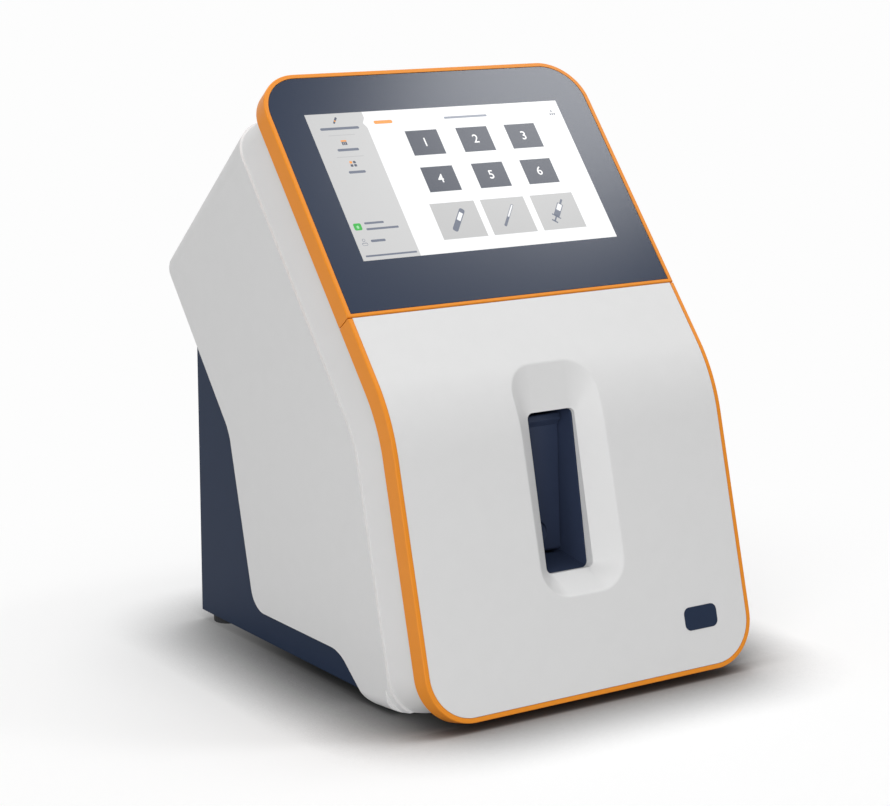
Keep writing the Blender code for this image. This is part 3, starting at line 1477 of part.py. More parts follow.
def make_electronics(panel):
    rear = base_rear_face - rear_panel_thickness - contact_gap
    board_rear = rear - board_gap
    low_x, high_x = board_x - board_width / 2, board_x + board_width / 2
    board_front = board_rear - board_sheet
    board_top = board_bottom + board_height
    sheet = block((low_x, board_front, board_bottom), (high_x, board_rear, board_top))
    board = piece("main_board", sheet, board_green)
    middle = (board_front + board_rear) / 2
    solids = []
    for x in (low_x + standoff_inset, high_x - standoff_inset):
        for z in (board_bottom + standoff_inset, board_top - standoff_inset):
            solids.append(rod(standoff_radius, middle, rear, small_sides, "Y", (x, 0, z)))
    for width, height, shares in ((chip_size, chip_height, chip_place_shares),
                                  (coil_size, coil_height, coil_place_shares)):
        for x_share, z_share in shares:
            x, z = low_x + board_width * x_share, board_bottom + board_height * z_share
            solids.append(block((x - width / 2, board_front - height, z - width / 2),
                                (x + width / 2, middle, z + width / 2)))
    header_x, header_z = board_x, board_top - header_height
    solids.append(block((header_x - header_width / 2, board_front - header_depth,
                         header_z - header_height / 2),
                        (header_x + header_width / 2, middle, header_z + header_height / 2)))
    join(board, tool("board_solids", together(*solids)))
    make_supply()
    make_network_port(panel, board_rear + contact_gap)
    make_usb_ports(panel, board_rear + contact_gap)
    return Vector((header_x, board_front - header_depth - contact_gap, header_z))


def make_supply():
    floor = foot_height + base_floor + contact_gap
    rear = base_rear_face - rear_panel_thickness - supply_rear_gap
    low = (-supply_x - supply_width / 2, rear - supply_depth, floor)
    shape = block(low, (-supply_x + supply_width / 2, rear, floor + supply_height))
    piece("power_supply", eased(shape, supply_edge_round), aluminium)


def panel_hole(panel, name, x, z, width, height):
    """A hole in the rear panel that a socket fits, with the usual gap."""
    half_x, half_z = width / 2 + contact_gap, height / 2 + contact_gap
    rear = base_rear_face
    cut(panel, tool(name, block((x - half_x, rear - rear_panel_thickness - overrun, z - half_z),
                                (x + half_x, rear + overrun, z + half_z))))


def make_power_inlet(panel):
    x, z, rear = -power_x, socket_level, base_rear_face
    half_x, half_z = power_width / 2, power_height / 2
    face = rear + contact_gap + power_flange_sheet
    panel_hole(panel, "power_hole", x, z, power_width, power_height)
    inlet = piece("power_inlet",
                  block((x - half_x - power_flange, rear + contact_gap, z - half_z - power_flange),
                                       (x + half_x + power_flange, face, z + half_z + power_flange)), black)
    body = block((x - half_x, face - power_depth, z - half_z),
                 (x + half_x, face - power_flange_sheet / 2, z + half_z))
    join(inlet, tool("power_body", body))
    floor = face - power_cavity_depth
    cavity = block((x - power_cavity_width / 2, floor, z - power_cavity_height / 2),
                   (x + power_cavity_width / 2, face + overrun, z + power_cavity_height / 2))
    cut(inlet, tool("power_cavity", cavity))
    pins = []
    for number in (-1, 0, 1):
        pin_x = x + number * power_pin_pitch
        lift = power_pin_height * power_pin_lift_share * (1 if number == 0 else -1)
        pins.append(block((pin_x - power_pin_width / 2, floor - power_flange_sheet,
                           z - power_pin_height / 2 + lift),
                          (pin_x + power_pin_width / 2, floor + power_pin_length,
                           z + power_pin_height / 2 + lift)))
    join(inlet, tool("power_pins", together(*pins)))


def make_switch(panel):
    x, z, rear = -switch_x, socket_level, base_rear_face
    half_x, half_z = switch_width / 2, switch_height / 2
    face = rear + contact_gap + power_flange_sheet
    panel_hole(panel, "switch_hole", x, z, switch_width, switch_height)
    flange = block((x - half_x - power_flange, rear + contact_gap, z - half_z - power_flange),
                   (x + half_x + power_flange, face, z + half_z + power_flange))
    holder = piece("switch_frame", flange, black)
    body = block((x - half_x, face - switch_depth, z - half_z),
                 (x + half_x, face - power_flange_sheet / 2, z + half_z))
    join(holder, tool("switch_body", body))
    pivot = (x, face - rocker_sink, z)
    half = rocker_width / 2
    room = rocker_radius + contact_gap
    cavity = block((-half - contact_gap, -room, -room), (half + contact_gap, room * 2, room))
    bore = rod(rocker_stub_radius + roller_clearance, -half - rocker_stub_length - contact_gap,
               half + rocker_stub_length + contact_gap, small_sides, "X")
    cut(holder, tool("switch_cavity", cavity, None, pivot), tool("switch_bore", bore, None, pivot))
    outline = [(0, rocker_crown)]
    steps = round_sides // 2
    for step in range(steps + 1):
        angle = rocker_open_angle + (2 * pi - 2 * rocker_open_angle) * step / steps
        outline.append((rocker_radius * sin(angle), rocker_radius * cos(angle)))
    body = side_plate([[(y, z) for z, y in outline]], -half, half)
    stubs = rod(rocker_stub_radius, -half - rocker_stub_length, half + rocker_stub_length, small_sides, "X")
    rocker = piece("switch_rocker", body, rubber, None, pivot)
    join(rocker, tool("rocker_stubs", stubs, None, pivot))
    settle(rocker)
    rocker.rotation_euler = (rocker_tilt, 0, 0)


def make_network_port(panel, near):
    x, z = network_x, port_level
    far = base_rear_face + port_rear_proud
    panel_hole(panel, "network_hole", x, z, network_width, network_height)
    port = piece("network_port", block((x - network_width / 2, near, z - network_height / 2),
                                       (x + network_width / 2, far, z + network_height / 2)), steel)
    cavity = block((x - network_cavity_width / 2, far - port_cavity_depth, z - network_cavity_height / 2),
                   (x + network_cavity_width / 2, far + overrun, z + network_cavity_height / 2))
    cut(port, tool("network_cavity", cavity))


def make_usb_ports(panel, near):
    x, z = usb_x, port_level
    far = base_rear_face + port_rear_proud
    panel_hole(panel, "usb_hole", x, z, usb_width, usb_height)
    ports = piece("usb_ports", block((x - usb_width / 2, near, z - usb_height / 2),
                                     (x + usb_width / 2, far, z + usb_height / 2)), steel)
    cavities, tongues = [], []
    for way in (-1, 1):
        middle = z + way * usb_pitch / 2
        floor = far - port_cavity_depth
        cavities.append(block((x - usb_cavity_width / 2, floor, middle - usb_cavity_height / 2),
                              (x + usb_cavity_width / 2, far + overrun, middle + usb_cavity_height / 2)))
        high = middle + usb_cavity_height / 2 - usb_tongue_gap
        tongues.append(block((x - usb_cavity_width / 2 + usb_tongue_gap, floor - usb_tongue,
                              high - usb_tongue),
                             (x + usb_cavity_width / 2 - usb_tongue_gap, far - usb_tongue, high)))
    cut(ports, tool("usb_cavities", together(*cavities)))
    join(ports, tool("usb_tongues", together(*tongues)))


def make_display_cable(board_rear, plug):
    """From the middle of the display's board down to the header on the main board."""
    middle = screen_bottom + screen_height / 2
    start = world(upper_point(middle, -board_rear + contact_gap))
    end = plug.copy()
    start.x = end.x
    out = Vector((0, upper_in.x, upper_in.y)) * cable_slack
    back = Vector((0, -cable_slack, 0))
    points = [start]
    start, end = start + out * cable_stub_share, end + back * cable_stub_share
    for step in range(line_points + 1):
        share = step / line_points
        rest = 1 - share
        point = start * rest**3 + (start + out) * 3 * rest**2 * share
        point += (end + back) * 3 * rest * share**2 + end * share**3
        points.append(point)
    points.append(plug)
    wire("display_cable", points, cable_radius, black)


make_bezel()
bracket_rear, screen_middle = make_display()
display_board_rear = make_display_board(bracket_rear, screen_middle)
panel_level = make_shell()
base_front_edge = make_base(panel_level)
back_panel = make_rear_panel(panel_level)
door_inner, door_skin_panel, inner_rear = make_door()
make_badge(door_skin_panel)
make_hinge(door_inner, inner_rear)
make_catch(inner_rear)
make_bay_frame()
probe_tail = make_inlet()
dock_stub = make_tub()
make_pump()
make_pack(base_front_edge)
make_sample_line(probe_tail, dock_stub)
board_header = make_electronics(back_panel)
make_power_inlet(back_panel)
make_switch(back_panel)
make_display_cable(display_board_rear, board_header)
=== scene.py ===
"""Electrolyte analyzer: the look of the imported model, with its camera, light and floor.

Metres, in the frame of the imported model: X to the right, Y to the rear, Z up.
"""

from math import cos, radians, sin, tan

import bmesh
import bpy
from mathutils import Matrix, Vector

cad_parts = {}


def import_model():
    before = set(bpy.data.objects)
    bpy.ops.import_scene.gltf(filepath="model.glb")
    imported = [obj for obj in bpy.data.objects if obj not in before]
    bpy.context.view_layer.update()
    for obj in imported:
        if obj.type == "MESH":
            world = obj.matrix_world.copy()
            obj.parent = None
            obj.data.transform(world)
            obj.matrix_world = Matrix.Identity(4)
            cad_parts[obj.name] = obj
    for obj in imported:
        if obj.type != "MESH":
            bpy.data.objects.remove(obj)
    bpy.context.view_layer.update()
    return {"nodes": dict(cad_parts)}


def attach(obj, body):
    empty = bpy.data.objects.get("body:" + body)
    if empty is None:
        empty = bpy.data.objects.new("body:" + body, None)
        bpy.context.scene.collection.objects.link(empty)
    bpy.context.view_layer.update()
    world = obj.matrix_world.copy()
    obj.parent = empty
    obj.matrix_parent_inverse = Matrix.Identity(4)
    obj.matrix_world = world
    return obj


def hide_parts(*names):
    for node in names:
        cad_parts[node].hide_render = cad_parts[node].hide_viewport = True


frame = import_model()
nodes = frame["nodes"]

mm = 0.001

# Form of the machine, as in the model's source
half_width = 98.9 * mm
upper_lean = radians(39.78)
lower_lean = radians(14.75)
display_length = 140.7 * mm
door_upper_length = 55.35 * mm
door_lower_length = 147.4 * mm
bend_radius = 88.0 * mm
seam_place = Vector((0, -59.135, 189.578)) * mm
rim_depth = 10.6 * mm
rim_lip = 2.37 * mm
rim_edge = 0.6 * mm
top_corner = 24.0 * mm
bottom_corner = 25.0 * mm
seam_gap = 0.5 * mm
bezel_bottom_lip = 1.72 * mm
inlay_gap = 0.2 * mm
inlay_drop = 0.15 * mm
glass_thickness = 1.8 * mm
glass_edge = 0.2 * mm
contact_gap = 0.3 * mm
glass_shelf = 2.0 * mm
web_thickness = 1.9 * mm
web_width = 8.03 * mm
neck_depth = 13.3 * mm
neck_inset = 8.4 * mm
collar_width = 4.0 * mm
door_skin = 2.5 * mm
liner_thickness = 2.0 * mm
panel_level = 153.47 * mm
base_rear = 101.521 * mm

# Hood: its lines in the side view, measured behind the front, then its corners, keel, sleeves and hollow
shell_inset = 1.9 * mm
shell_wall = 2.2 * mm
front_wall = 1.5 * mm
band_depth = 37.7 * mm
band_ledge = 1.2 * mm
band_ledge_step = 0.12 * mm
crest_drop = 11.0 * mm
crest_depth = 149.0 * mm
rear_upper_depth = 144.2 * mm
rear_lower_depth = 161.8 * mm
hood_bottom = 0.6 * mm
rear_foot_level = 20.9 * mm
toe_setback = 66.8 * mm
toe_shift = 5.9 * mm
toe_run = 20.1 * mm
crest_corner = 8.0 * mm
rear_corner = 25.0 * mm
rear_foot_corner = 13.0 * mm
toe_corner = 20.0 * mm
hood_edge_rear = 6.0 * mm
keel_middle_corner = 9.0 * mm
keel_rear_corner = 6.0 * mm
keel_ahead = 60.0 * mm
keel_middle = 5.0 * mm
keel_rear = 20.0 * mm
keel_far = 320.0 * mm
keel_height = 400.0 * mm
sleeve_ahead = 200.0 * mm
sleeve_behind = 260.0 * mm
sleeve_height = 450.0 * mm
hood_hollow_half = 86.0 * mm
hood_hollow_top = 13.0 * mm
hood_hollow_start = 9.0 * mm

# Door skin: the scoop and its slot, measured down from the bend's vertex
scoop_half_width = 25.2 * mm
scoop_top = 36.5 * mm
scoop_bottom = 97.6 * mm
scoop_corner = 16.0 * mm
scoop_edge = 0.9 * mm
scoop_wall = 2.2 * mm
slot_half_width = 14.2 * mm
slot_top = 6.8 * mm
slot_bottom = 86.0 * mm
slot_corner = 3.2 * mm
slot_lip_depths = (9.3 * mm, 11.4 * mm)
slot_rear_depths = (11.4 * mm, 16.9 * mm)
# The wall's rows of points, as shares of its run down to just before the slot's lip
lip_run = 0.6 * mm
scoop_rows = (0.34, 0.67, 1.0)
scoop_cuts = 9
scoop_edge_steps = 4
# Nearer than this to the seam or the floor, an open edge of the skin is on its outside
seam_reach = 6.0 * mm
foot_reach = 20.0 * mm

# Screen: sheet thickness, the step between sheets and the height of the numbers
sheet_thickness = 0.03 * mm
sheet_step = 0.02 * mm
number_height = 7.2 * mm
number_rise = 0.055 * mm
number_half_thickness = 0.015 * mm
number_weight = 0.06 * mm
picture_lean = radians(38)

bend_angle = upper_lean - lower_lean
bend_tangent = bend_radius * tan(bend_angle / 2)
bend_start = door_upper_length - bend_tangent
bend_arc = bend_radius * bend_angle
door_length = bend_start + bend_arc + door_lower_length - bend_tangent
upper_way = Vector((sin(upper_lean), cos(upper_lean)))
lower_way = Vector((sin(lower_lean), cos(lower_lean)))
upper_in = Vector((cos(upper_lean), -sin(upper_lean)))
lower_in = Vector((cos(lower_lean), -sin(lower_lean)))
bend_vertex = -upper_way * door_upper_length
band_taper = (neck_inset - shell_inset) / (band_depth - neck_depth)

# Margins of cutting shapes, weld distance, edge rounding of the nodes, angles and counts of segments
overrun = 3.0 * mm
cup_margin = 14.0 * mm
cup_rise = 20.0 * mm
cut_lead = 8.0 * mm
graze = 0.08 * mm
weld = 0.002 * mm
node_edge = 0.3 * mm
node_edge_steps = 2
node_edge_angle = radians(40)
node_flat_angle = radians(1)
ridge_angle = radians(45)
bend_steps = 30
rim_steps = 20
scoop_steps = 16
sleeve_steps = 16

# Camera, fitted to the photograph
camera_place = Vector((-696.852, -1034.133, 390.685)) * mm
camera_forward = Vector((0.54462, 0.81265, -0.20733))
camera_right = Vector((0.8308, -0.55658, 0.00082))
camera_sensor = 36
camera_lens = 99.0


def make_camera():
    """The camera, at the photograph's place and angle."""
    camera = bpy.data.objects.new("camera", bpy.data.cameras.new("camera"))
    bpy.context.scene.collection.objects.link(camera)
    forward, right = camera_forward.normalized(), camera_right.normalized()
    up = right.cross(forward)
    turn = Matrix((right, up, -forward)).transposed()
    camera.matrix_world = Matrix.Translation(camera_place) @ turn.to_4x4()
    camera.data.sensor_width = camera_sensor
    camera.data.lens = camera_lens
    camera.data.clip_start = 0.05
    bpy.context.scene.camera = camera


# Finishes
def linear(value):
    """A sRGB hex colour as linear red, green, blue and alpha."""
    parts = [int(value[i : i + 2], 16) / 255 for i in (0, 2, 4)]
    return [p / 12.92 if p <= 0.04045 else ((p + 0.055) / 1.055) ** 2.4 for p in parts] + [1]


def add(tree, kind, settings=None, **links):
    """Adds a shader node, with its settings, and links or values for its sockets."""
    made = tree.nodes.new("ShaderNode" + kind)
    for key, value in (settings or {}).items():
        setattr(made, key, value)
    for key, value in links.items():
        socket = made.inputs[key.replace("_", " ")]
        if isinstance(value, bpy.types.NodeSocket):
            tree.links.new(value, socket)
        else:
            socket.default_value = value
    return made


def start(name):
    """A material with its shader and the place on the piece, in metres."""
    material = bpy.data.materials.new(name)
    material.use_nodes = True
    tree = material.node_tree
    shader = tree.nodes["Principled BSDF"]
    place = add(tree, "TexCoord").outputs["Object"]
    return material, tree, shader, place


def two_tones(tree, factor, low, high, socket):
    """Leads a mix of two colours to a socket."""
    tone = add(tree, "Mix", {"data_type": "RGBA"}, Factor=factor)
    tone.inputs[6].default_value = low
    tone.inputs[7].default_value = high
    tree.links.new(tone.outputs[2], socket)


def uneven_gloss(tree, shader, value, roughness, spread):
    """Lets the roughness waver about its middle with a texture."""
    gloss = add(tree, "MapRange", Value=value)
    gloss.inputs["To Min"].default_value = roughness - spread
    gloss.inputs["To Max"].default_value = roughness + spread
    tree.links.new(gloss.outputs["Result"], shader.inputs["Roughness"])


def relief(tree, shader, value, strength, depth):
    """Lets a texture stand out from the surface, by a depth in millimetres."""
    bump = add(tree, "Bump", Height=value, Strength=strength, Distance=depth * mm)
    tree.links.new(bump.outputs["Normal"], shader.inputs["Normal"])


def gloss_level(shader, level=0.5, index=1.5):
    shader.inputs["IOR"].default_value = index
    shader.inputs["Specular IOR Level"].default_value = level


def plastic(name, colour, deep, roughness, grain, depth, specular=0.5, mottle=9.0):
    """A moulded plastic: grain size and depth and the size of the faint mottle are in millimetres."""
    material, tree, shader, place = start(name)
    cloud = add(tree, "TexNoise", Vector=place, Scale=1 / (mottle * mm), Detail=2.0)
    two_tones(tree, cloud.outputs["Fac"], linear(deep), linear(colour), shader.inputs["Base Color"])
    fine = add(tree, "TexNoise", Vector=place, Scale=1 / (grain * mm), Detail=3.0)
    uneven_gloss(tree, shader, fine.outputs["Fac"], roughness, 0.05)
    relief(tree, shader, fine.outputs["Fac"], 0.5, depth)
    gloss_level(shader, specular)
    return material


def metal(name, colour, deep, roughness, line, along, depth):
    """A drawn or brushed metal: lines of that width in millimetres, stretched along one axis."""
    material, tree, shader, place = start(name)
    stretch = [1.0, 1.0, 1.0]
    stretch["XYZ".index(along)] = 0.03
    lines = add(tree, "Mapping", Vector=place, Scale=stretch)
    fine = add(tree, "TexNoise", Vector=lines.outputs["Vector"], Scale=1 / (line * mm), Detail=4.0)
    two_tones(tree, fine.outputs["Fac"], linear(deep), linear(colour), shader.inputs["Base Color"])
    uneven_gloss(tree, shader, fine.outputs["Fac"], roughness, 0.08)
    relief(tree, shader, fine.outputs["Fac"], 0.35, depth)
    shader.inputs["Metallic"].default_value = 1.0
    return material


def circuit_board(name):
    """Glass-fibre board under green solder mask: darker where copper tracks run under the mask."""
    material, tree, shader, place = start(name)
    tracks = add(tree, "TexVoronoi", {"distance": "MANHATTAN"}, Vector=place, Scale=1 / (6.0 * mm))
    edge = add(tree, "MapRange", Value=tracks.outputs["Distance"])
    edge.inputs["From Min"].default_value = 0.42
    edge.inputs["From Max"].default_value = 0.5
    two_tones(tree, edge.outputs["Result"], linear("1C5A38"), linear("2E7A4B"), shader.inputs["Base Color"])
    relief(tree, shader, edge.outputs["Result"], 0.4, 0.05)
    shader.inputs["Roughness"].default_value = 0.38
    gloss_level(shader)
    return material


def printed_glass(name):
    """Cover glass with a dark blue print on its back: a clear smooth surface over a flat deep colour."""
    material, tree, shader, place = start(name)
    cloud = add(tree, "TexNoise", Vector=place, Scale=1 / (60 * mm), Detail=1.0)
    two_tones(tree, cloud.outputs["Fac"], linear("15263F"), linear("172842"), shader.inputs["Base Color"])
    shader.inputs["Roughness"].default_value = 0.2
    gloss_level(shader, 0.22, 1.52)
    return material


def lit_pixels(name, colour, glow):
    """Liquid crystal cells, lit from behind under the cover glass: an even glow, with the faint cell grid."""
    material, tree, shader, place = start(name)
    cells = add(tree, "TexChecker", Vector=place, Scale=1 / (0.4 * mm))
    bright = linear(colour)
    faint = [part * 0.985 for part in bright[:3]] + [1]
    two_tones(tree, cells.outputs["Fac"], faint, bright, shader.inputs["Emission Color"])
    shader.inputs["Emission Strength"].default_value = glow
    shader.inputs["Base Color"].default_value = linear("111315")
    shader.inputs["Roughness"].default_value = 0.24
    gloss_level(shader, 0.22, 1.52)
    return material


def clear_tube(name):
    """Soft silicone tubing: milky, half clear and faintly uneven."""
    material, tree, shader, place = start(name)
    cloud = add(tree, "TexNoise", Vector=place, Scale=1 / (2.5 * mm), Detail=2.0)
    two_tones(tree, cloud.outputs["Fac"], linear("CDD2D3"), linear("E2E6E6"), shader.inputs["Base Color"])
    shader.inputs["Roughness"].default_value = 0.32
    shader.inputs["Subsurface Weight"].default_value = 0.25
    shader.inputs["Subsurface Radius"].default_value = (1.2 * mm, 1.2 * mm, 1.2 * mm)
    return material


# Hood, door skin: ABS with a fine spark-eroded texture, so light spreads softly over it
white_abs = plastic("white_abs", "DEDEDE", "DBDBDB", 0.45, 0.45, 0.012, specular=0.28)
# Rims: orange ABS from a smoother mould, so their edges catch a bright line
orange_abs = plastic("orange_abs", "EA9029", "E68C27", 0.4, 0.5, 0.008, specular=0.2)
# Base and rear side: dark blue ABS, textured like the hood
navy_abs = plastic("navy_abs", "222E44", "202C41", 0.5, 0.45, 0.014, specular=0.12)
# Pocket and flap: the darkest blue, a little glossier where it is wiped clean
deep_navy_abs = plastic("deep_navy_abs", "364058", "333D54", 0.42, 0.4, 0.008, specular=0.2)
# Inner plates, tubs and cartridge bodies: plain grey mouldings with an even satin
grey_abs = plastic("grey_abs", "A2A5AA", "9DA0A5", 0.5, 0.5, 0.012)
light_grey_abs = plastic("light_grey_abs", "CDCFD2", "C9CBCE", 0.5, 0.5, 0.012)
# Rotor, motor cap, switch and sockets: glass-filled nylon, with a coarser grain
black_nylon = plastic("black_nylon", "1D1E21", "191A1D", 0.46, 0.7, 0.02)
# Feet and rocker: matt rubber that scatters what falls on it
rubber = plastic("rubber", "232427", "1E1F22", 0.8, 0.9, 0.03)
# Sockets, brackets, pins and screws: zinc-plated steel with faint rolling lines
plated_steel = metal("plated_steel", "C3C6CA", "B2B5B9", 0.32, 0.25, "X", 0.004)
# Supply case and heated block: anodised aluminium, milled along one way
anodised_aluminium = metal("anodised_aluminium", "CDD0D3", "BEC1C5", 0.38, 0.3, "Z", 0.005)
# Electrode studs: gold film on a flat carrier
gold_film = metal("gold_film", "DDB65C", "CFA44C", 0.28, 0.2, "X", 0.003)
# Boards: green mask with darker tracks under it
green_board = circuit_board("green_board")
# Front of the display: flat dark blue print under a smooth sheet that shows soft reflections
cover_glass = printed_glass("cover_glass")
# Pump tube and sample line: milky tubing that lets some light through
silicone = clear_tube("silicone")


# Shapes
def upper_point(rise, depth):
    return upper_way * rise + upper_in * depth


def lower_point(drop, depth):
    return bend_vertex - lower_way * drop + lower_in * depth


def meet(first, way, other, other_way):
    """Where two lines of the side view cross."""
    return first + way * ((other - first).cross(other_way) / way.cross(other_way))


def world(point, x=0.0):
    """A side view point, seen from the seam, as a place in the machine."""
    return Vector((x, point.x, point.y)) + seam_place


def side(point):
    place = world(point)
    return place.y, place.z


def face_point(x, rise, depth):
    """A place on the curved front: along the surface above the seam, and behind it."""
    if rise >= -bend_start:
        return world(upper_point(rise, depth), x)
    if rise >= -bend_start - bend_arc:
        lean = upper_lean + (rise + bend_start) / bend_radius
        centre = upper_point(-bend_start, bend_radius)
        return world(centre + Vector((-cos(lean), sin(lean))) * (bend_radius - depth), x)
    return world(lower_point(bend_tangent - bend_start - bend_arc - rise, depth), x)


def outline(corners, steps=12):
    """A flat face from (x, y, radius) corners, each rounded by a bevel."""
    shape = bmesh.new()
    verts = [shape.verts.new((x, y, 0)) for x, y, _ in corners]
    shape.faces.new(verts)
    for number, vert in enumerate(verts):
        x, y, radius = corners[number]
        if not radius:
            continue
        here = Vector((x, y))
        before = Vector(corners[number - 1][:2]) - here
        after = Vector(corners[(number + 1) % len(corners)][:2]) - here
        offset = radius / tan(before.angle(after) / 2)
        bmesh.ops.bevel(
            shape, geom=[vert], offset=offset, offset_type="OFFSET", segments=steps, profile=0.5,
            affect="VERTICES", material=-1,
        )
    return shape


def rounded_box(half, low, high, low_radius, high_radius, steps=12):
    corners = [(-half, low, low_radius), (half, low, low_radius)]
    corners += [(half, high, high_radius), (-half, high, high_radius)]
    return outline(corners, steps)


def thicken(shape, low, high):
    """A flat face at height zero made a closed plate between two heights."""
    bmesh.ops.translate(shape, vec=(0, 0, high), verts=shape.verts)
    faces = shape.faces[:]
    made = bmesh.ops.extrude_face_region(shape, geom=faces, use_keep_orig=True)
    moved = [item for item in made["geom"] if isinstance(item, bmesh.types.BMVert)]
    bmesh.ops.translate(shape, vec=(0, 0, low - high), verts=moved)
    bmesh.ops.recalc_face_normals(shape, faces=shape.faces)
    return shape


def flat_face(shape, height):
    """The largest face that lies at a height."""
    level = [face for face in shape.faces if all(abs(vert.co.z - height) < weld for vert in face.verts)]
    return max(level, key=lambda face: face.calc_area())


def ring_edges(shape, *heights):
    """The edges of a plate's outline at the given heights."""
    found = []
    for edge in shape.edges:
        level = any(all(abs(vert.co.z - height) < weld for vert in edge.verts) for height in heights)
        if level and edge.calc_face_angle(0) > ridge_angle:
            found.append(edge)
    return found


def ease(shape, edges, radius, steps=3):
    bmesh.ops.bevel(
        shape, geom=edges, offset=radius, offset_type="OFFSET", segments=steps, profile=0.5, affect="EDGES",
        material=-1,
    )
    return shape


def step_in(shape, face, thickness, height):
    """Insets a flat face and sets what is left of it at a new height."""
    bmesh.ops.inset_region(shape, faces=[face], thickness=thickness, depth=0, use_even_offset=True,
                           use_boundary=True)
    for vert in face.verts:
        vert.co.z = height
    return face


def sink(shape, face, height):
    """Pushes a face straight in or out to a height."""
    made = bmesh.ops.extrude_face_region(shape, geom=[face])
    verts = [item for item in made["geom"] if isinstance(item, bmesh.types.BMVert)]
    for vert in verts:
        vert.co.z = height
    fresh = [item for item in made["geom"] if isinstance(item, bmesh.types.BMFace)][0]
    if face.is_valid:
        bmesh.ops.delete(shape, geom=[face], context="FACES_ONLY")
    return fresh


def sideways(shape):
    """A plate drawn in the side view set upright, with its thickness along X."""
    turn = Matrix(((0, 0, 1), (1, 0, 0), (0, 1, 0)))
    bmesh.ops.transform(shape, matrix=turn.to_4x4(), verts=shape.verts)
    return shape


def cut(shape, place, normal):
    """Cuts every face that a plane crosses, and keeps both sides."""
    geometry = shape.verts[:] + shape.edges[:] + shape.faces[:]
    bmesh.ops.bisect_plane(shape, geom=geometry, dist=weld, plane_co=place, plane_no=normal)


def cut_for_bend(shape):
    """Cuts a flat shape along the lines where the front curves."""
    for step in range(bend_steps + 1):
        cut(shape, (0, -bend_start - bend_arc * step / bend_steps, 0), (0, 1, 0))


def on_front(shape):
    """Lays a shape on the curved front: its X, rise above the seam and height over the surface."""
    for vert in shape.verts:
        vert.co = face_point(vert.co.x, vert.co.y, -vert.co.z)
    return shape


def bent(shape):
    cut_for_bend(shape)
    return on_front(shape)


def combined(shape, operation, other):
    """The Boolean of two closed shapes."""
    objects = []
    for part in (shape, other):
        bmesh.ops.recalc_face_normals(part, faces=part.faces)
        mesh = bpy.data.meshes.new("solid")
        part.to_mesh(mesh)
        part.free()
        objects.append(bpy.data.objects.new("solid", mesh))
        bpy.context.scene.collection.objects.link(objects[-1])
    modifier = objects[0].modifiers.new("boolean", "BOOLEAN")
    modifier.operation = operation
    modifier.solver = "EXACT"
    modifier.object = objects[1]
    bpy.context.view_layer.update()
    graph = bpy.context.evaluated_depsgraph_get()
    mesh = bpy.data.meshes.new_from_object(objects[0].evaluated_get(graph))
    result = bmesh.new()
    result.from_mesh(mesh)
    for obj in objects:
        bpy.data.objects.remove(obj, do_unlink=True)
    bmesh.ops.remove_doubles(result, verts=result.verts, dist=weld)
    bmesh.ops.dissolve_degenerate(result, edges=result.edges, dist=weld)
    return result


def together(shapes):
    """Several shapes in one mesh."""
    whole = bmesh.new()
    for shape in shapes:
        mesh = bpy.data.meshes.new("part")
        shape.to_mesh(mesh)
        shape.free()
        whole.from_mesh(mesh)
        bpy.data.meshes.remove(mesh)
    return whole


def piece(name, shape, finish, body, stands_for=(), sharp=30, weighted=False):
    """A shape made a named piece of the machine that rides on a body, with the record's finish slot."""
    mesh = bpy.data.meshes.new(name)
    shape.to_mesh(mesh)
    shape.free()
    mesh.materials.append(finish)
    mesh.shade_smooth()
    mesh.set_sharp_from_angle(angle=radians(sharp))
    obj = bpy.data.objects.new(name, mesh)
    bpy.context.scene.collection.objects.link(obj)
    if weighted:
        even = obj.modifiers.new("even_normals", "WEIGHTED_NORMAL")
        even.keep_sharp = True
    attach(obj, body)
    if stands_for:
        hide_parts(*stands_for)
    return obj


# Orange rims
def head_outline(inset, bottom):
    """The display head's outline, drawn in from the edge by an inset, from a level near the seam up."""
    return rounded_box(half_width - inset, bottom, display_length - inset, 0, top_corner - inset, rim_steps)


def door_outline(inset, top):
    """The door's outline, drawn in from the edge by an inset, up to a level near the seam."""
    return rounded_box(half_width - inset, inset - door_length, top, bottom_corner - inset, 0, rim_steps)


def make_bezel():
    """Rim of the display head: lip, shelf for the glass, web, and the collar that enters the hood."""
    foot = seam_gap / 2
    web = web_thickness - rim_depth
    end = contact_gap - neck_depth
    shape = thicken(head_outline(0, foot), -rim_depth, 0)
    ease(shape, ring_edges(shape, 0, -rim_depth), rim_edge, 4)
    seat = -inlay_drop - glass_thickness - contact_gap
    face = flat_face(shape, 0)
    step_in(shape, face, rim_lip - rim_edge, 0)
    for vert in face.verts:
        if vert.co.y < foot + rim_lip + weld:
            vert.co.y = foot + bezel_bottom_lip
    face = sink(shape, face, seat)
    step_in(shape, face, glass_shelf, seat)
    front_hole = sink(shape, face, web)
    step_in(shape, front_hole, web_width, web)
    rear = flat_face(shape, -rim_depth)
    step_in(shape, rear, neck_inset - rim_edge, -rim_depth)
    rear = sink(shape, rear, end)
    step_in(shape, rear, collar_width, end)
    edges = front_hole.edges[:] + rear.edges[:]
    bmesh.ops.delete(shape, geom=[front_hole, rear], context="FACES_ONLY")
    bmesh.ops.bridge_loops(shape, edges=edges)
    bmesh.ops.recalc_face_normals(shape, faces=shape.faces)
    piece("display_rim", bent(shape), orange_abs, "machine", ("display_bezel",),
          weighted=True)


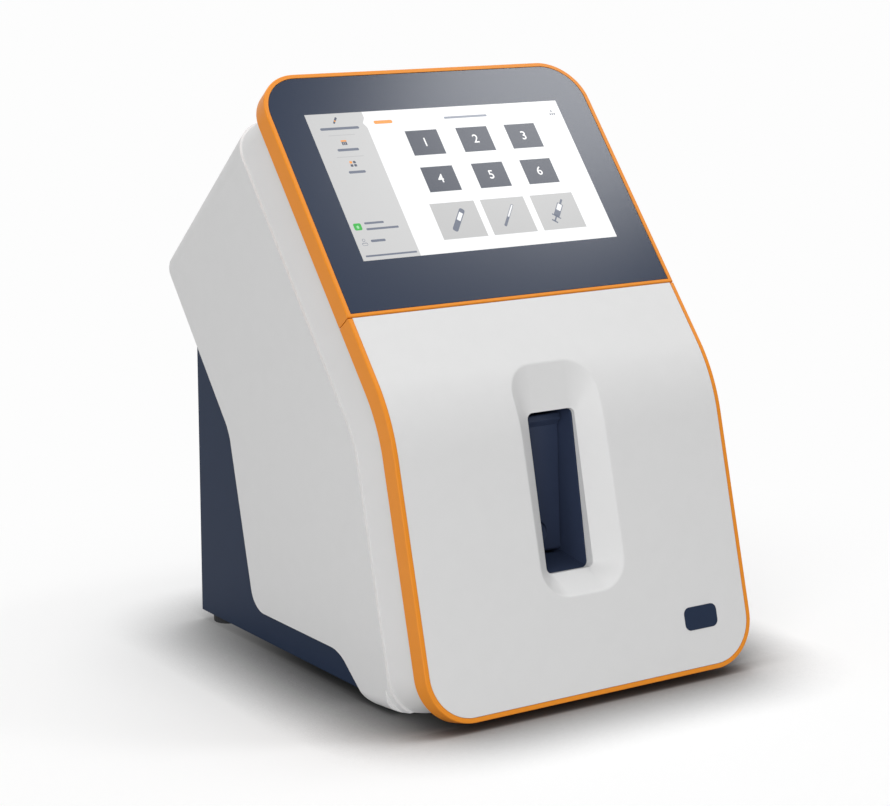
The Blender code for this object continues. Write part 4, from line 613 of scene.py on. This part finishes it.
def make_door_rim():
    """Rim of the door: open to the seam at the front, with a bar behind the panel's top edge."""
    top = -seam_gap / 2
    shape = thicken(door_outline(0, top), -rim_depth, 0)
    ease(shape, ring_edges(shape, 0, -rim_depth), rim_edge, 4)
    seat = -(door_skin + liner_thickness + inlay_drop + contact_gap + inlay_gap)
    inlay = thicken(door_outline(rim_lip, top + overrun), seat, overrun)
    shape = combined(shape, "DIFFERENCE", inlay)
    hollow = thicken(door_outline(rim_lip, top - rim_lip), -rim_depth - overrun, overrun)
    shape = combined(shape, "DIFFERENCE", hollow)
    piece("door_rim", bent(shape), orange_abs, "door", ("door_frame",),
          weighted=True)


def make_glass():
    """Cover glass of the display, set a little below the rim's lip."""
    bottom = seam_gap / 2 + bezel_bottom_lip + inlay_gap
    front = -inlay_drop
    shape = thicken(head_outline(rim_lip + inlay_gap, bottom), front - glass_thickness, front)
    ease(shape, ring_edges(shape, front), glass_edge, 2)
    piece("cover_glass", bent(shape), cover_glass, "machine", ("display_glass",),
          weighted=True)


# Hood
def shell_lines(inset):
    """A point on the hood's top line in the side view, the line's way to the rear, and the way inward."""
    front = upper_point(display_length - shell_inset, band_depth)
    rear = upper_point(display_length - crest_drop, crest_depth)
    way = (rear - front).normalized()
    inward = Vector((way.y, -way.x))
    return front + inward * inset, way, inward


def sleeve(half, low, high, low_radius, high_radius, rings):
    """A closed tube over rounded boxes.

    Each ring gives the radius of its low corners, and a function from height to place in the side view.
    """
    last = len(rings) - 1
    shape = thicken(rounded_box(half, low, high, low_radius, high_radius, sleeve_steps), 0, last * mm)
    for level in range(1, last):
        cut(shape, (0, 0, level * mm), (0, 0, 1))
    for vert in shape.verts:
        radius, place = rings[round(vert.co.z / mm)]
        x, y = vert.co.x, vert.co.y
        if y < low + low_radius and abs(x) > half - low_radius:
            way = Vector((abs(x) - half + low_radius, y - low - low_radius)) / low_radius
            x = (half - radius + way.x * radius) * (1 if x > 0 else -1)
            y = low + radius + way.y * radius
        vert.co = world(place(y - low), x)
    return shape


def hood_top(half, inset):
    """The hood's rounded upper edges: as round as the rim's corners in front, sharper at the rear."""
    corner = top_corner - shell_inset - inset
    way = shell_lines(inset)[1]
    start = upper_point(display_length - shell_inset - inset, band_depth)
    ahead, behind = start - way * sleeve_ahead, start + way * sleeve_behind
    rings = [
        (corner, lambda drop: ahead - upper_way * drop),
        (corner, lambda drop: start - upper_way * drop),
        (hood_edge_rear - inset, lambda drop: behind - upper_way * drop),
    ]
    return sleeve(half, 0, sleeve_height, corner, 0, rings)


def hood_keel(half, inset):
    """The hood's rounded lower corners, which run back from the band's and get smaller."""
    corner = bottom_corner - shell_inset - inset
    start = lower_point(door_lower_length - shell_inset - inset, band_depth)
    level = hood_bottom - seam_place.z + inset
    front_foot = Vector((start.x - keel_ahead, start.y))
    middle_foot = Vector((start.x + keel_middle, level))
    rear_foot = Vector((start.x + keel_rear, level))
    far_foot = Vector((start.x + keel_far, level))
    rings = [
        (corner, lambda rise: front_foot + lower_way * rise),
        (corner, lambda rise: start + lower_way * rise),
        (keel_middle_corner - inset, lambda rise: middle_foot + lower_way * rise),
        (keel_rear_corner - inset, lambda rise: rear_foot + lower_way * rise),
        (keel_rear_corner - inset, lambda rise: far_foot + lower_way * rise),
    ]
    return sleeve(half, 0, keel_height, corner, 0, rings)


def hood_body(inset, front_depth):
    """The hood's side outline given width, with its rounded edges, cut to the curved front and its band."""
    half = half_width - shell_inset - inset
    top, top_way, _ = shell_lines(inset)
    rear_upper = upper_point(0, rear_upper_depth - inset)
    rear_lower = lower_point(0, rear_lower_depth - inset)
    ahead = front_depth - cut_lead
    front_upper, front_lower = upper_point(0, ahead), lower_point(0, ahead)
    level = Vector((1, 0))
    bottom = Vector((0, hood_bottom - seam_place.z + inset))
    ledge = Vector((0, rear_foot_level - seam_place.z + inset))
    toe = lower_point(door_lower_length, 0).x + toe_setback
    corners = [
        (*side(meet(top, top_way, front_upper, upper_way)), 0),
        (*side(meet(top, top_way, rear_upper, upper_way)), crest_corner - inset),
        (*side(meet(rear_upper, upper_way, rear_lower, lower_way)), rear_corner + inset),
        (*side(meet(rear_lower, lower_way, ledge, level)), rear_foot_corner - inset),
        (*side(Vector((toe + toe_run, ledge.y))), toe_corner),
        (*side(Vector((toe - toe_shift, bottom.y))), toe_corner),
        (*side(meet(bottom, level, front_lower, lower_way)), 0),
        (*side(meet(front_lower, lower_way, front_upper, upper_way)), 0),
    ]
    solid = sideways(thicken(outline(corners), -half, half))
    solid = combined(solid, "INTERSECT", hood_top(half, inset))
    solid = combined(solid, "INTERSECT", hood_keel(half, inset))
    cup_outline = rounded_box(
        half_width + cup_margin, -door_length - cup_margin, display_length + cup_margin,
        bottom_corner + cup_margin, top_corner + cup_margin, rim_steps,
    )
    cup = thicken(cup_outline, -band_depth - overrun, cup_rise)
    face = flat_face(cup, -band_depth - overrun)
    shoulder = shell_inset + inset
    before = shoulder - band_taper * overrun
    step_in(cup, face, cup_margin + before, -band_depth - overrun)
    step_in(cup, face, shoulder - before - graze, -band_depth)
    ledge_width = band_ledge if inset == 0 else band_ledge / 2
    step_in(cup, face, ledge_width + graze, -band_depth + band_ledge_step)
    run = band_depth - front_depth
    step_in(cup, face, band_taper * run - ledge_width, -front_depth)
    return combined(solid, "DIFFERENCE", bent(cup))


def make_hood():
    """The hood's outer body less its inner one, opened below and at the rear for the base."""
    shape = combined(hood_body(0, neck_depth), "DIFFERENCE", hood_body(shell_wall, neck_depth - front_wall))
    rear = base_rear + contact_gap - seam_place.y
    behind = lower_point(0, band_depth + hood_hollow_start)
    high = panel_level - seam_place.z + shell_wall
    middle = hood_hollow_top - seam_place.z
    under = -seam_place.z - overrun
    level = Vector((1, 0))
    wide = (half_width - shell_inset - shell_wall, middle, high)
    narrow = (hood_hollow_half, under, middle + overrun)
    for inside, foot, head in (wide, narrow):
        opening = [
            (*side(meet(behind, lower_way, Vector((0, head)), level)), 0),
            (*side(Vector((rear, head))), 0),
            (*side(Vector((rear, foot))), 0),
            (*side(meet(behind, lower_way, Vector((0, foot)), level)), 0),
        ]
        shape = combined(shape, "DIFFERENCE", sideways(thicken(outline(opening), -inside, inside)))
    bmesh.ops.recalc_face_normals(shape, faces=shape.faces)
    piece("hood", shape, white_abs, "machine", ("shell_cover",), sharp=24,
          weighted=True)


# Door skin with its scoop
def scoop_field(point, spread):
    """For a point of the scoop's outline, the way out and the point of the slot's edge that it runs to."""
    half = scoop_half_width + spread
    high = -scoop_top + spread
    low = bend_tangent - bend_start - bend_arc - scoop_bottom - spread
    corner = scoop_corner + spread
    centre_x = max(corner - half, min(half - corner, point.x))
    centre_y = max(low + corner, min(high - corner, point.y))
    out = Vector((point.x - centre_x, point.y - centre_y)).normalized()
    inner_half = slot_half_width + spread
    inner_corner = slot_corner + spread
    inner_x = centre_x * (inner_half - inner_corner) / (half - corner)
    along = (centre_y - low - corner) / (high - low - 2 * corner)
    inner_low, inner_high = -slot_bottom - spread + inner_corner, -slot_top + spread - inner_corner
    inner_y = inner_low + (inner_high - inner_low) * along
    target = Vector((inner_x, inner_y)) + out * inner_corner
    return out, target


def slot_place(target, depths):
    """A point of the slot's edge, at a depth that changes evenly from the slot's top to its bottom."""
    down = (-target.y - slot_top) / (slot_bottom - slot_top)
    return world(lower_point(-target.y, depths[0] + (depths[1] - depths[0]) * down), target.x)


def scoop_row(flat, depth, spread, edge, end_depths):
    """The places that a point of the scoop's outline runs through, down the wall and into the slot."""
    out, target = scoop_field(flat, spread)
    start_place = face_point(flat.x, flat.y, depth)
    corner = flat - out * edge
    crease = face_point(corner.x, corner.y, depth)
    lip = slot_place(target, slot_lip_depths)
    end = slot_place(target, end_depths)
    down = crease + (lip - crease).normalized() * edge
    row = []
    steps = scoop_edge_steps if edge else 0
    for step in range(1, steps + 1):
        share = step / steps
        row.append(start_place * (1 - share) ** 2 + crease * 2 * share * (1 - share) + down * share**2)
    near_lip = lip + (crease - lip).normalized() * lip_run
    row += [down.lerp(near_lip, share) for share in scoop_rows]
    row += [lip, lip.lerp(end, 0.5), end]
    return row


def skin_sheet(depth, spread, edge, end_depths):
    """One side of the door skin: the bent face, the scoop's wall with its eased edge, the slot's wall."""
    top = -seam_gap / 2
    shape = door_outline(rim_lip + inlay_gap, top)
    half = scoop_half_width + spread + edge
    high = -scoop_top + spread + edge
    low = bend_tangent - bend_start - bend_arc - scoop_bottom - spread - edge
    corner = scoop_corner + spread + edge
    hole = rounded_box(half, low, high, corner, corner, scoop_steps)
    bmesh.ops.delete(hole, geom=hole.faces[:], context="FACES_ONLY")
    sides = [line for line in hole.edges if line.calc_length() > scoop_half_width]
    bmesh.ops.subdivide_edges(hole, edges=sides, cuts=scoop_cuts)
    shape = together([shape, hole])
    bmesh.ops.delete(shape, geom=shape.faces[:], context="FACES_ONLY")
    bmesh.ops.triangle_fill(shape, edges=shape.edges[:], use_beauty=True)
    cut_for_bend(shape)
    ring = [line for line in shape.edges if line.is_boundary and all(
        abs(vert.co.x) < half + mm and low - mm < vert.co.y < high + mm for vert in line.verts)]
    rows = {vert: scoop_row(vert.co.xy, depth, spread, edge, end_depths)
            for vert in {vert for line in ring for vert in line.verts}}
    for vert in shape.verts:
        vert.co = face_point(vert.co.x, vert.co.y, depth)
    origins = {vert: vert for vert in rows}
    for number in range(len(next(iter(rows.values())))):
        made = bmesh.ops.extrude_edge_only(shape, edges=ring)["geom"]
        partners = {}
        for vert in made:
            if isinstance(vert, bmesh.types.BMVert):
                for line in vert.link_edges:
                    other = line.other_vert(vert)
                    if other in origins:
                        partners[vert] = origins[other]
        for vert, origin in partners.items():
            vert.co = rows[origin][number]
        origins = partners
        ring = [item for item in made if isinstance(item, bmesh.types.BMEdge)]
    return shape


def make_door_skin():
    """The door skin: its front and back sheets, joined round the outside and round the slot."""
    front = skin_sheet(inlay_drop, 0, scoop_edge, slot_rear_depths)
    back = skin_sheet(inlay_drop + door_skin, scoop_wall, 0, slot_rear_depths)
    for face in back.faces:
        face.normal_flip()
    shape = together([front, back])
    outer, inner = [], []
    for line in shape.edges:
        if line.is_boundary:
            beside = any(abs(vert.co.x) > scoop_half_width for vert in line.verts)
            above = any(vert.co.z > seam_place.z - seam_reach for vert in line.verts)
            below = any(vert.co.z < foot_reach for vert in line.verts)
            (outer if beside or above or below else inner).append(line)
    bmesh.ops.bridge_loops(shape, edges=outer)
    bmesh.ops.bridge_loops(shape, edges=inner)
    bmesh.ops.recalc_face_normals(shape, faces=shape.faces)
    piece("door_skin", shape, white_abs, "door", ("door_panel",), sharp=35,
          weighted=True)


# Every other node keeps its shape, with its edges eased
finishes = {
    "base_tray": navy_abs, "rear_panel": navy_abs,
    "rubber_foot_front_left": rubber, "rubber_foot_front_right": rubber,
    "rubber_foot_rear_left": rubber, "rubber_foot_rear_right": rubber,
    "lcd_module": plated_steel, "display_bracket": plated_steel, "display_board": green_board,
    "display_cable": black_nylon, "door_liner": light_grey_abs, "door_striker": plated_steel,
    "hinge_pin_upper": plated_steel, "hinge_pin_lower": plated_steel,
    "hinge_bracket_upper": plated_steel, "hinge_bracket_lower": plated_steel,
    "door_magnet": black_nylon, "bay_frame": light_grey_abs,
    "inlet_housing": deep_navy_abs, "inlet_flap": deep_navy_abs, "inlet_port": deep_navy_abs,
    "inlet_pin": plated_steel, "sample_probe": plated_steel,
    "module_tray": grey_abs, "sensor_dock": anodised_aluminium, "sensor_cartridge": light_grey_abs,
    "electrode_strip": gold_film, "cartridge_lock": orange_abs,
    "pump_housing": light_grey_abs, "pump_rotor": black_nylon,
    "pump_roller_1": white_abs, "pump_roller_2": white_abs, "pump_roller_3": white_abs,
    "pump_motor": black_nylon, "pump_tube": silicone, "sample_line": silicone,
    "pack_bay": grey_abs, "fluid_pack": white_abs, "pack_manifold": grey_abs,
    "main_board": green_board, "power_supply": anodised_aluminium,
    "power_inlet": black_nylon, "switch_frame": black_nylon, "switch_rocker": rubber,
    "network_port": plated_steel, "usb_ports": plated_steel,
    "panel_screw_lower_left": plated_steel, "panel_screw_upper_left": plated_steel,
    "panel_screw_lower_right": plated_steel, "panel_screw_upper_right": plated_steel,
    "badge_plate": navy_abs,
    "display_bezel": orange_abs, "door_frame": orange_abs, "display_glass": cover_glass,
    "shell_cover": white_abs, "door_panel": white_abs,
}
# These are drawn anew below, or are round along their whole length
plain_nodes = ("display_bezel", "door_frame", "display_glass", "shell_cover", "door_panel", "pump_tube",
               "sample_line", "display_cable")


def dress_nodes():
    """Each node's finish, and modifiers that join its loose triangles and ease its sharp edges."""
    for name, finish in finishes.items():
        node = nodes[name]
        node.material_slots[0].material = finish
        if name in plain_nodes:
            continue
        join = node.modifiers.new("join", "WELD")
        join.merge_threshold = weld
        flat = node.modifiers.new("flat", "DECIMATE")
        flat.decimate_type = "DISSOLVE"
        flat.angle_limit = node_flat_angle
        eased = node.modifiers.new("eased", "BEVEL")
        eased.width = node_edge
        eased.segments = node_edge_steps
        eased.limit_method = "ANGLE"
        eased.angle_limit = node_edge_angle
        eased.use_clamp_overlap = True
        eased.harden_normals = False


# What the screen shows, as thin sheets on the glass
def decal(name, outlines, colour, level, glow=1.0):
    """Flat shapes in the display's own x and rise, in millimetres, a level above the glass."""
    shapes = []
    high = -inlay_drop + level * sheet_step
    for corners in outlines:
        scaled = [(x * mm, y * mm, radius * mm) for x, y, radius in corners]
        shapes.append(thicken(outline(scaled, 6), high - sheet_thickness, high))
    shape = together(shapes)
    bmesh.ops.recalc_face_normals(shape, faces=shape.faces)
    piece(name, on_front(shape), lit_pixels(name, colour, glow), "machine")


def box_outline(x, y, width, height, radius=0.0):
    """Corners of a box from its centre."""
    w, h = width / 2, height / 2
    return [(x - w, y - h, radius), (x + w, y - h, radius), (x + w, y + h, radius), (x - w, y + h, radius)]


tile_centres = [(x, y) for y in (95.3, 73.1) for x in (-14.5, 16.4, 46.7)]


def make_screen():
    """The lit page: side bar with plain lines for words, six numbered tiles and three sample tiles."""
    decal("screen_white", [box_outline(-0.65, 73.0, 154.3, 86.0)], "F8F9FA", 1)
    bar = [(-77.8, 30.0, 0), (-44.7, 30.0, 0), (-44.7, 106.4, 0), (-46.3, 109.2, 0.4), (-44.4, 112.2, 0),
           (-44.4, 116.0, 0), (-77.8, 116.0, 0)]
    decal("screen_sidebar", [bar], "CACACA", 2)
    decal("screen_tiles", [box_outline(x, y, 19.2, 15.0) for x, y in tile_centres], "333A4B", 2)
    decal("screen_sample_tiles", [box_outline(x, 48.2, 26.7, 21.3) for x in (-14.4, 16.2, 47.1)], "BDBDBD", 2)
    word_lines = [box_outline(-60.8, 106.9, 22.6, 1.5, 0.7), box_outline(-60.9, 94.1, 12.4, 1.5, 0.7),
                  box_outline(-61.0, 80.8, 9.8, 1.5, 0.7), box_outline(-63.4, 51.0, 11.2, 1.2, 0.5),
                  box_outline(-59.8, 47.6, 18.6, 1.2, 0.5), box_outline(-65.1, 40.8, 8.4, 1.4, 0.6),
                  box_outline(-60.8, 32.5, 29.6, 1.0, 0.4)]
    decal("screen_word_lines", word_lines, "6B7283", 3)
    decal("screen_status_line", [box_outline(16.0, 109.4, 26.6, 1.3, 0.6)], "8D93A1", 3)
    decal("screen_ready_line", [box_outline(-34.3, 109.2, 11.0, 2.0, 0.9)], "F39A35", 3)
    decal("screen_dividers", [box_outline(-61.2, 102.9, 15.4, 0.35), box_outline(-61.4, 89.95, 15.6, 0.35)],
          "B9B9BA", 3)
    list_marks = [box_outline(-61.6 + 1.05 * step, 97.9, 0.8, 1.9) for step in (-1, 0, 1)]
    menu_marks = [box_outline(-60.4, 86.6, 1.5, 1.4, 0.3), box_outline(-62.5, 84.7, 1.5, 1.4, 0.3),
                  box_outline(-60.4, 84.7, 1.5, 1.4, 0.3)]
    probe = [(-63.4, 110.2, 0.3), (-62.6, 109.7, 0.3), (-59.9, 113.3, 0.5), (-60.9, 113.9, 0.5)]
    people = [box_outline(70.7 + 1.3 * step, 107.6, 0.9, 1.1, 0.4) for step in (-1, 0, 1)]
    people.append(box_outline(70.7, 109.5, 0.9, 1.1, 0.4))
    decal("screen_icons_dark", list_marks + menu_marks + [probe] + people, "454C5E", 3)
    icon_marks = [box_outline(-61.6, 99.4, 3.2, 0.9, 0.2), box_outline(-62.5, 86.6, 1.5, 1.4, 0.3),
                  box_outline(-61.9, 111.4, 0.9, 0.9, 0.4)]
    decal("screen_icons_orange", icon_marks, "F39A35", 4)
    decal("screen_icon_green", [box_outline(-73.4, 49.4, 4.4, 4.0, 0.9)], "29B23C", 3)
    decal("screen_icon_drop", [box_outline(-73.4, 49.2, 1.4, 1.8, 0.65)], "9BE0A4", 4)
    ring = [box_outline(-73.2, 41.6, 1.7, 1.7, 0.8), box_outline(-73.2, 39.3, 3.2, 1.7, 0.8)]
    decal("screen_icon_round", ring, "7B8190", 3)
    fill = [box_outline(-73.2, 41.6, 1.2, 1.2, 0.55), box_outline(-73.2, 39.2, 2.7, 1.1, 0.5)]
    decal("screen_icon_round_fill", fill, "CACACA", 4)
    make_sample_pictures()
    make_tile_numbers()


def leaning(x, y, lean, corners):
    """A shape drawn upright, turned by a lean and set at a place."""
    turn = Matrix.Rotation(-lean, 2)
    placed = []
    for corner_x, corner_y, radius in corners:
        point = turn @ Vector((corner_x, corner_y)) + Vector((x, y))
        placed.append((point.x, point.y, radius))
    return placed


def make_sample_pictures():
    """A closed tube, a capillary and a syringe, each half filled."""
    tube = [(0, 0, 3.2, 15.6, 1.2)]
    capillary = [(0, 0, 1.5, 15.6, 0.5)]
    syringe = [(0, 1.0, 3.4, 9.0, 0.5), (0, 7.0, 1.2, 3.4, 0.3), (0, -5.2, 0.9, 4.4, 0.1),
               (0, -3.6, 5.4, 0.8, 0.2), (0, -7.2, 3.6, 0.9, 0.2)]
    pictures = [
        (-14.5, 48.3, tube, (0, 2.4, 2.2, 5.4, 0.2)),
        (16.2, 48.4, capillary, (0, 3.2, 0.9, 8.4, 0.2)),
        (47.0, 48.2, syringe, (0, 2.9, 2.5, 4.4, 0.3)),
    ]
    dark, pale = [], []
    for x, y, boxes, filled in pictures:
        dark += [leaning(x, y, picture_lean, box_outline(*box)) for box in boxes]
        pale.append(leaning(x, y, picture_lean, box_outline(*filled)))
    decal("screen_pictures_dark", dark, "5F6779", 3)
    decal("screen_pictures_pale", pale, "EEEFF1", 4)


def make_tile_numbers():
    """Plain numbers, one in each tile."""
    shapes = []
    for number, (x, y) in enumerate(tile_centres, 1):
        curve = bpy.data.curves.new("digit", "FONT")
        curve.body = str(number)
        curve.size = number_height
        curve.align_x = "CENTER"
        curve.align_y = "CENTER"
        curve.extrude = number_half_thickness
        curve.offset = number_weight
        curve.resolution_u = 4
        holder = bpy.data.objects.new("digit", curve)
        bpy.context.scene.collection.objects.link(holder)
        bpy.context.view_layer.update()
        graph = bpy.context.evaluated_depsgraph_get()
        mesh = bpy.data.meshes.new_from_object(holder.evaluated_get(graph))
        shape = bmesh.new()
        shape.from_mesh(mesh)
        bpy.data.objects.remove(holder, do_unlink=True)
        bmesh.ops.remove_doubles(shape, verts=shape.verts, dist=weld / 4)
        bmesh.ops.translate(shape, vec=(x * mm, y * mm, number_rise - inlay_drop), verts=shape.verts)
        shapes.append(shape)
    shape = together(shapes)
    bmesh.ops.recalc_face_normals(shape, faces=shape.faces)
    name = "screen_tile_numbers"
    piece(name, on_front(shape), lit_pixels(name, "FFFFFF", 1.0), "machine")


# Floor, backdrop and light: reaches and places in metres, lamp powers in watts
# Reach and strength of the shadow painted into the floor's colour near the machine, by ambient occlusion
shade_reach = 0.06
shade_power = 3.0
fade_centre = (0, -0.07, 0)
fade_start = 0.1
fade_end = 0.42
floor_half = 8
sky_strength = 0.376
softboxes = {
    "front_softbox": ((-1.77, -1.77, 0.85), (0, 0, 0.15), 1.6, 36),
    "top_softbox": ((0.33, 0.55, 2.26), (0, 0, 0.15), 1.2, 24),
    "glass_softbox": ((1.34, -0.42, 1.94), (0, -0.014, 0.243), 0.4, 7.6),
}


def seen_directly(tree):
    """One for rays from the camera and for those that gloss or clear pieces send on."""
    rays = add(tree, "LightPath")
    gloss = add(tree, "Math", {"operation": "MAXIMUM"})
    tree.links.new(rays.outputs["Is Glossy Ray"], gloss.inputs[0])
    tree.links.new(rays.outputs["Is Transmission Ray"], gloss.inputs[1])
    seen = add(tree, "Math", {"operation": "MAXIMUM"})
    tree.links.new(rays.outputs["Is Camera Ray"], seen.inputs[0])
    tree.links.new(gloss.outputs["Value"], seen.inputs[1])
    return seen.outputs["Value"]


def make_floor():
    """A pale sheet with a painted shadow close to the machine, darker where ambient occlusion finds the
    machine near, that fades to the white of the backdrop away from it.

    Rays that light the machine meet a greyer sheet than the camera sees.
    """
    material, tree, shader, place = start("floor_sheet")
    seen = seen_directly(tree)
    # Painted shadow: the sheet's colour darkens from F9F9F9 towards 2E2E2E where ambient occlusion finds the
    # machine within shade_reach, sharpened by shade_power
    painted_shade_nearness = add(tree, "AmbientOcclusion", Distance=shade_reach)
    depth = add(tree, "Math", {"operation": "POWER"})
    tree.links.new(painted_shade_nearness.outputs["AO"], depth.inputs[0])
    depth.inputs[1].default_value = shade_power
    painted_shadow_tint = add(tree, "Mix", {"data_type": "RGBA"}, Factor=depth.outputs["Value"])
    painted_shadow_tint.inputs[6].default_value = linear("2E2E2E")
    painted_shadow_tint.inputs[7].default_value = linear("F9F9F9")
    paper = add(tree, "Mix", {"data_type": "RGBA"}, Factor=seen)
    paper.inputs[6].default_value = linear("BCBCBC")
    tree.links.new(painted_shadow_tint.outputs[2], paper.inputs[7])
    tree.links.new(paper.outputs[2], shader.inputs["Base Color"])
    shader.inputs["Roughness"].default_value = 0.9
    reach = add(tree, "VectorMath", {"operation": "DISTANCE"})
    tree.links.new(place, reach.inputs[0])
    reach.inputs[1].default_value = fade_centre
    fade = add(tree, "MapRange", {"interpolation_type": "SMOOTHSTEP"}, Value=reach.outputs["Value"])
    fade.inputs["From Min"].default_value = fade_start
    fade.inputs["From Max"].default_value = fade_end
    share = add(tree, "Math", {"operation": "MULTIPLY"})
    tree.links.new(fade.outputs["Result"], share.inputs[0])
    tree.links.new(seen, share.inputs[1])
    white = add(tree, "Emission", Color=linear("FDFDFD"), Strength=1.0)
    both = add(tree, "MixShader", Fac=share.outputs["Value"])
    tree.links.new(shader.outputs["BSDF"], both.inputs[1])
    tree.links.new(white.outputs["Emission"], both.inputs[2])
    tree.links.new(both.outputs["Shader"], tree.nodes["Material Output"].inputs["Surface"])
    shape = bmesh.new()
    bmesh.ops.create_grid(shape, x_segments=1, y_segments=1, size=floor_half)
    mesh = bpy.data.meshes.new("floor")
    shape.to_mesh(mesh)
    shape.free()
    mesh.materials.append(material)
    floor = bpy.data.objects.new("floor", mesh)
    bpy.context.scene.collection.objects.link(floor)


def make_backdrop():
    """A white world: its light on the machine is softer than the white that the camera sees."""
    studio = bpy.data.worlds.new("studio")
    bpy.context.scene.world = studio
    studio.use_nodes = True
    tree = studio.node_tree
    sky = tree.nodes["Background"]
    sky.inputs["Color"].default_value = linear("FFFFFF")
    sky.inputs["Strength"].default_value = sky_strength
    backdrop = add(tree, "Background", Color=linear("FDFDFD"), Strength=1.0)
    both = add(tree, "MixShader", Fac=seen_directly(tree))
    tree.links.new(sky.outputs["Background"], both.inputs[1])
    tree.links.new(backdrop.outputs["Background"], both.inputs[2])
    tree.links.new(both.outputs["Shader"], tree.nodes["World Output"].inputs["Surface"])


def lamp(name, place, aim, width, power):
    """A square soft light at a place, aimed at another."""
    light = bpy.data.lights.new(name, "AREA")
    light.shape = "RECTANGLE"
    light.size, light.size_y = width, width
    light.energy = power
    obj = bpy.data.objects.new(name, light)
    bpy.context.scene.collection.objects.link(obj)
    way = Vector(aim) - Vector(place)
    obj.location = place
    obj.rotation_euler = way.to_track_quat("-Z", "Y").to_euler()


bpy.context.scene.view_settings.view_transform = "Standard"
make_camera()
make_floor()
make_backdrop()
for name, values in softboxes.items():
    lamp(name, *values)
dress_nodes()
make_bezel()
make_door_rim()
make_glass()
make_hood()
make_door_skin()
make_screen()
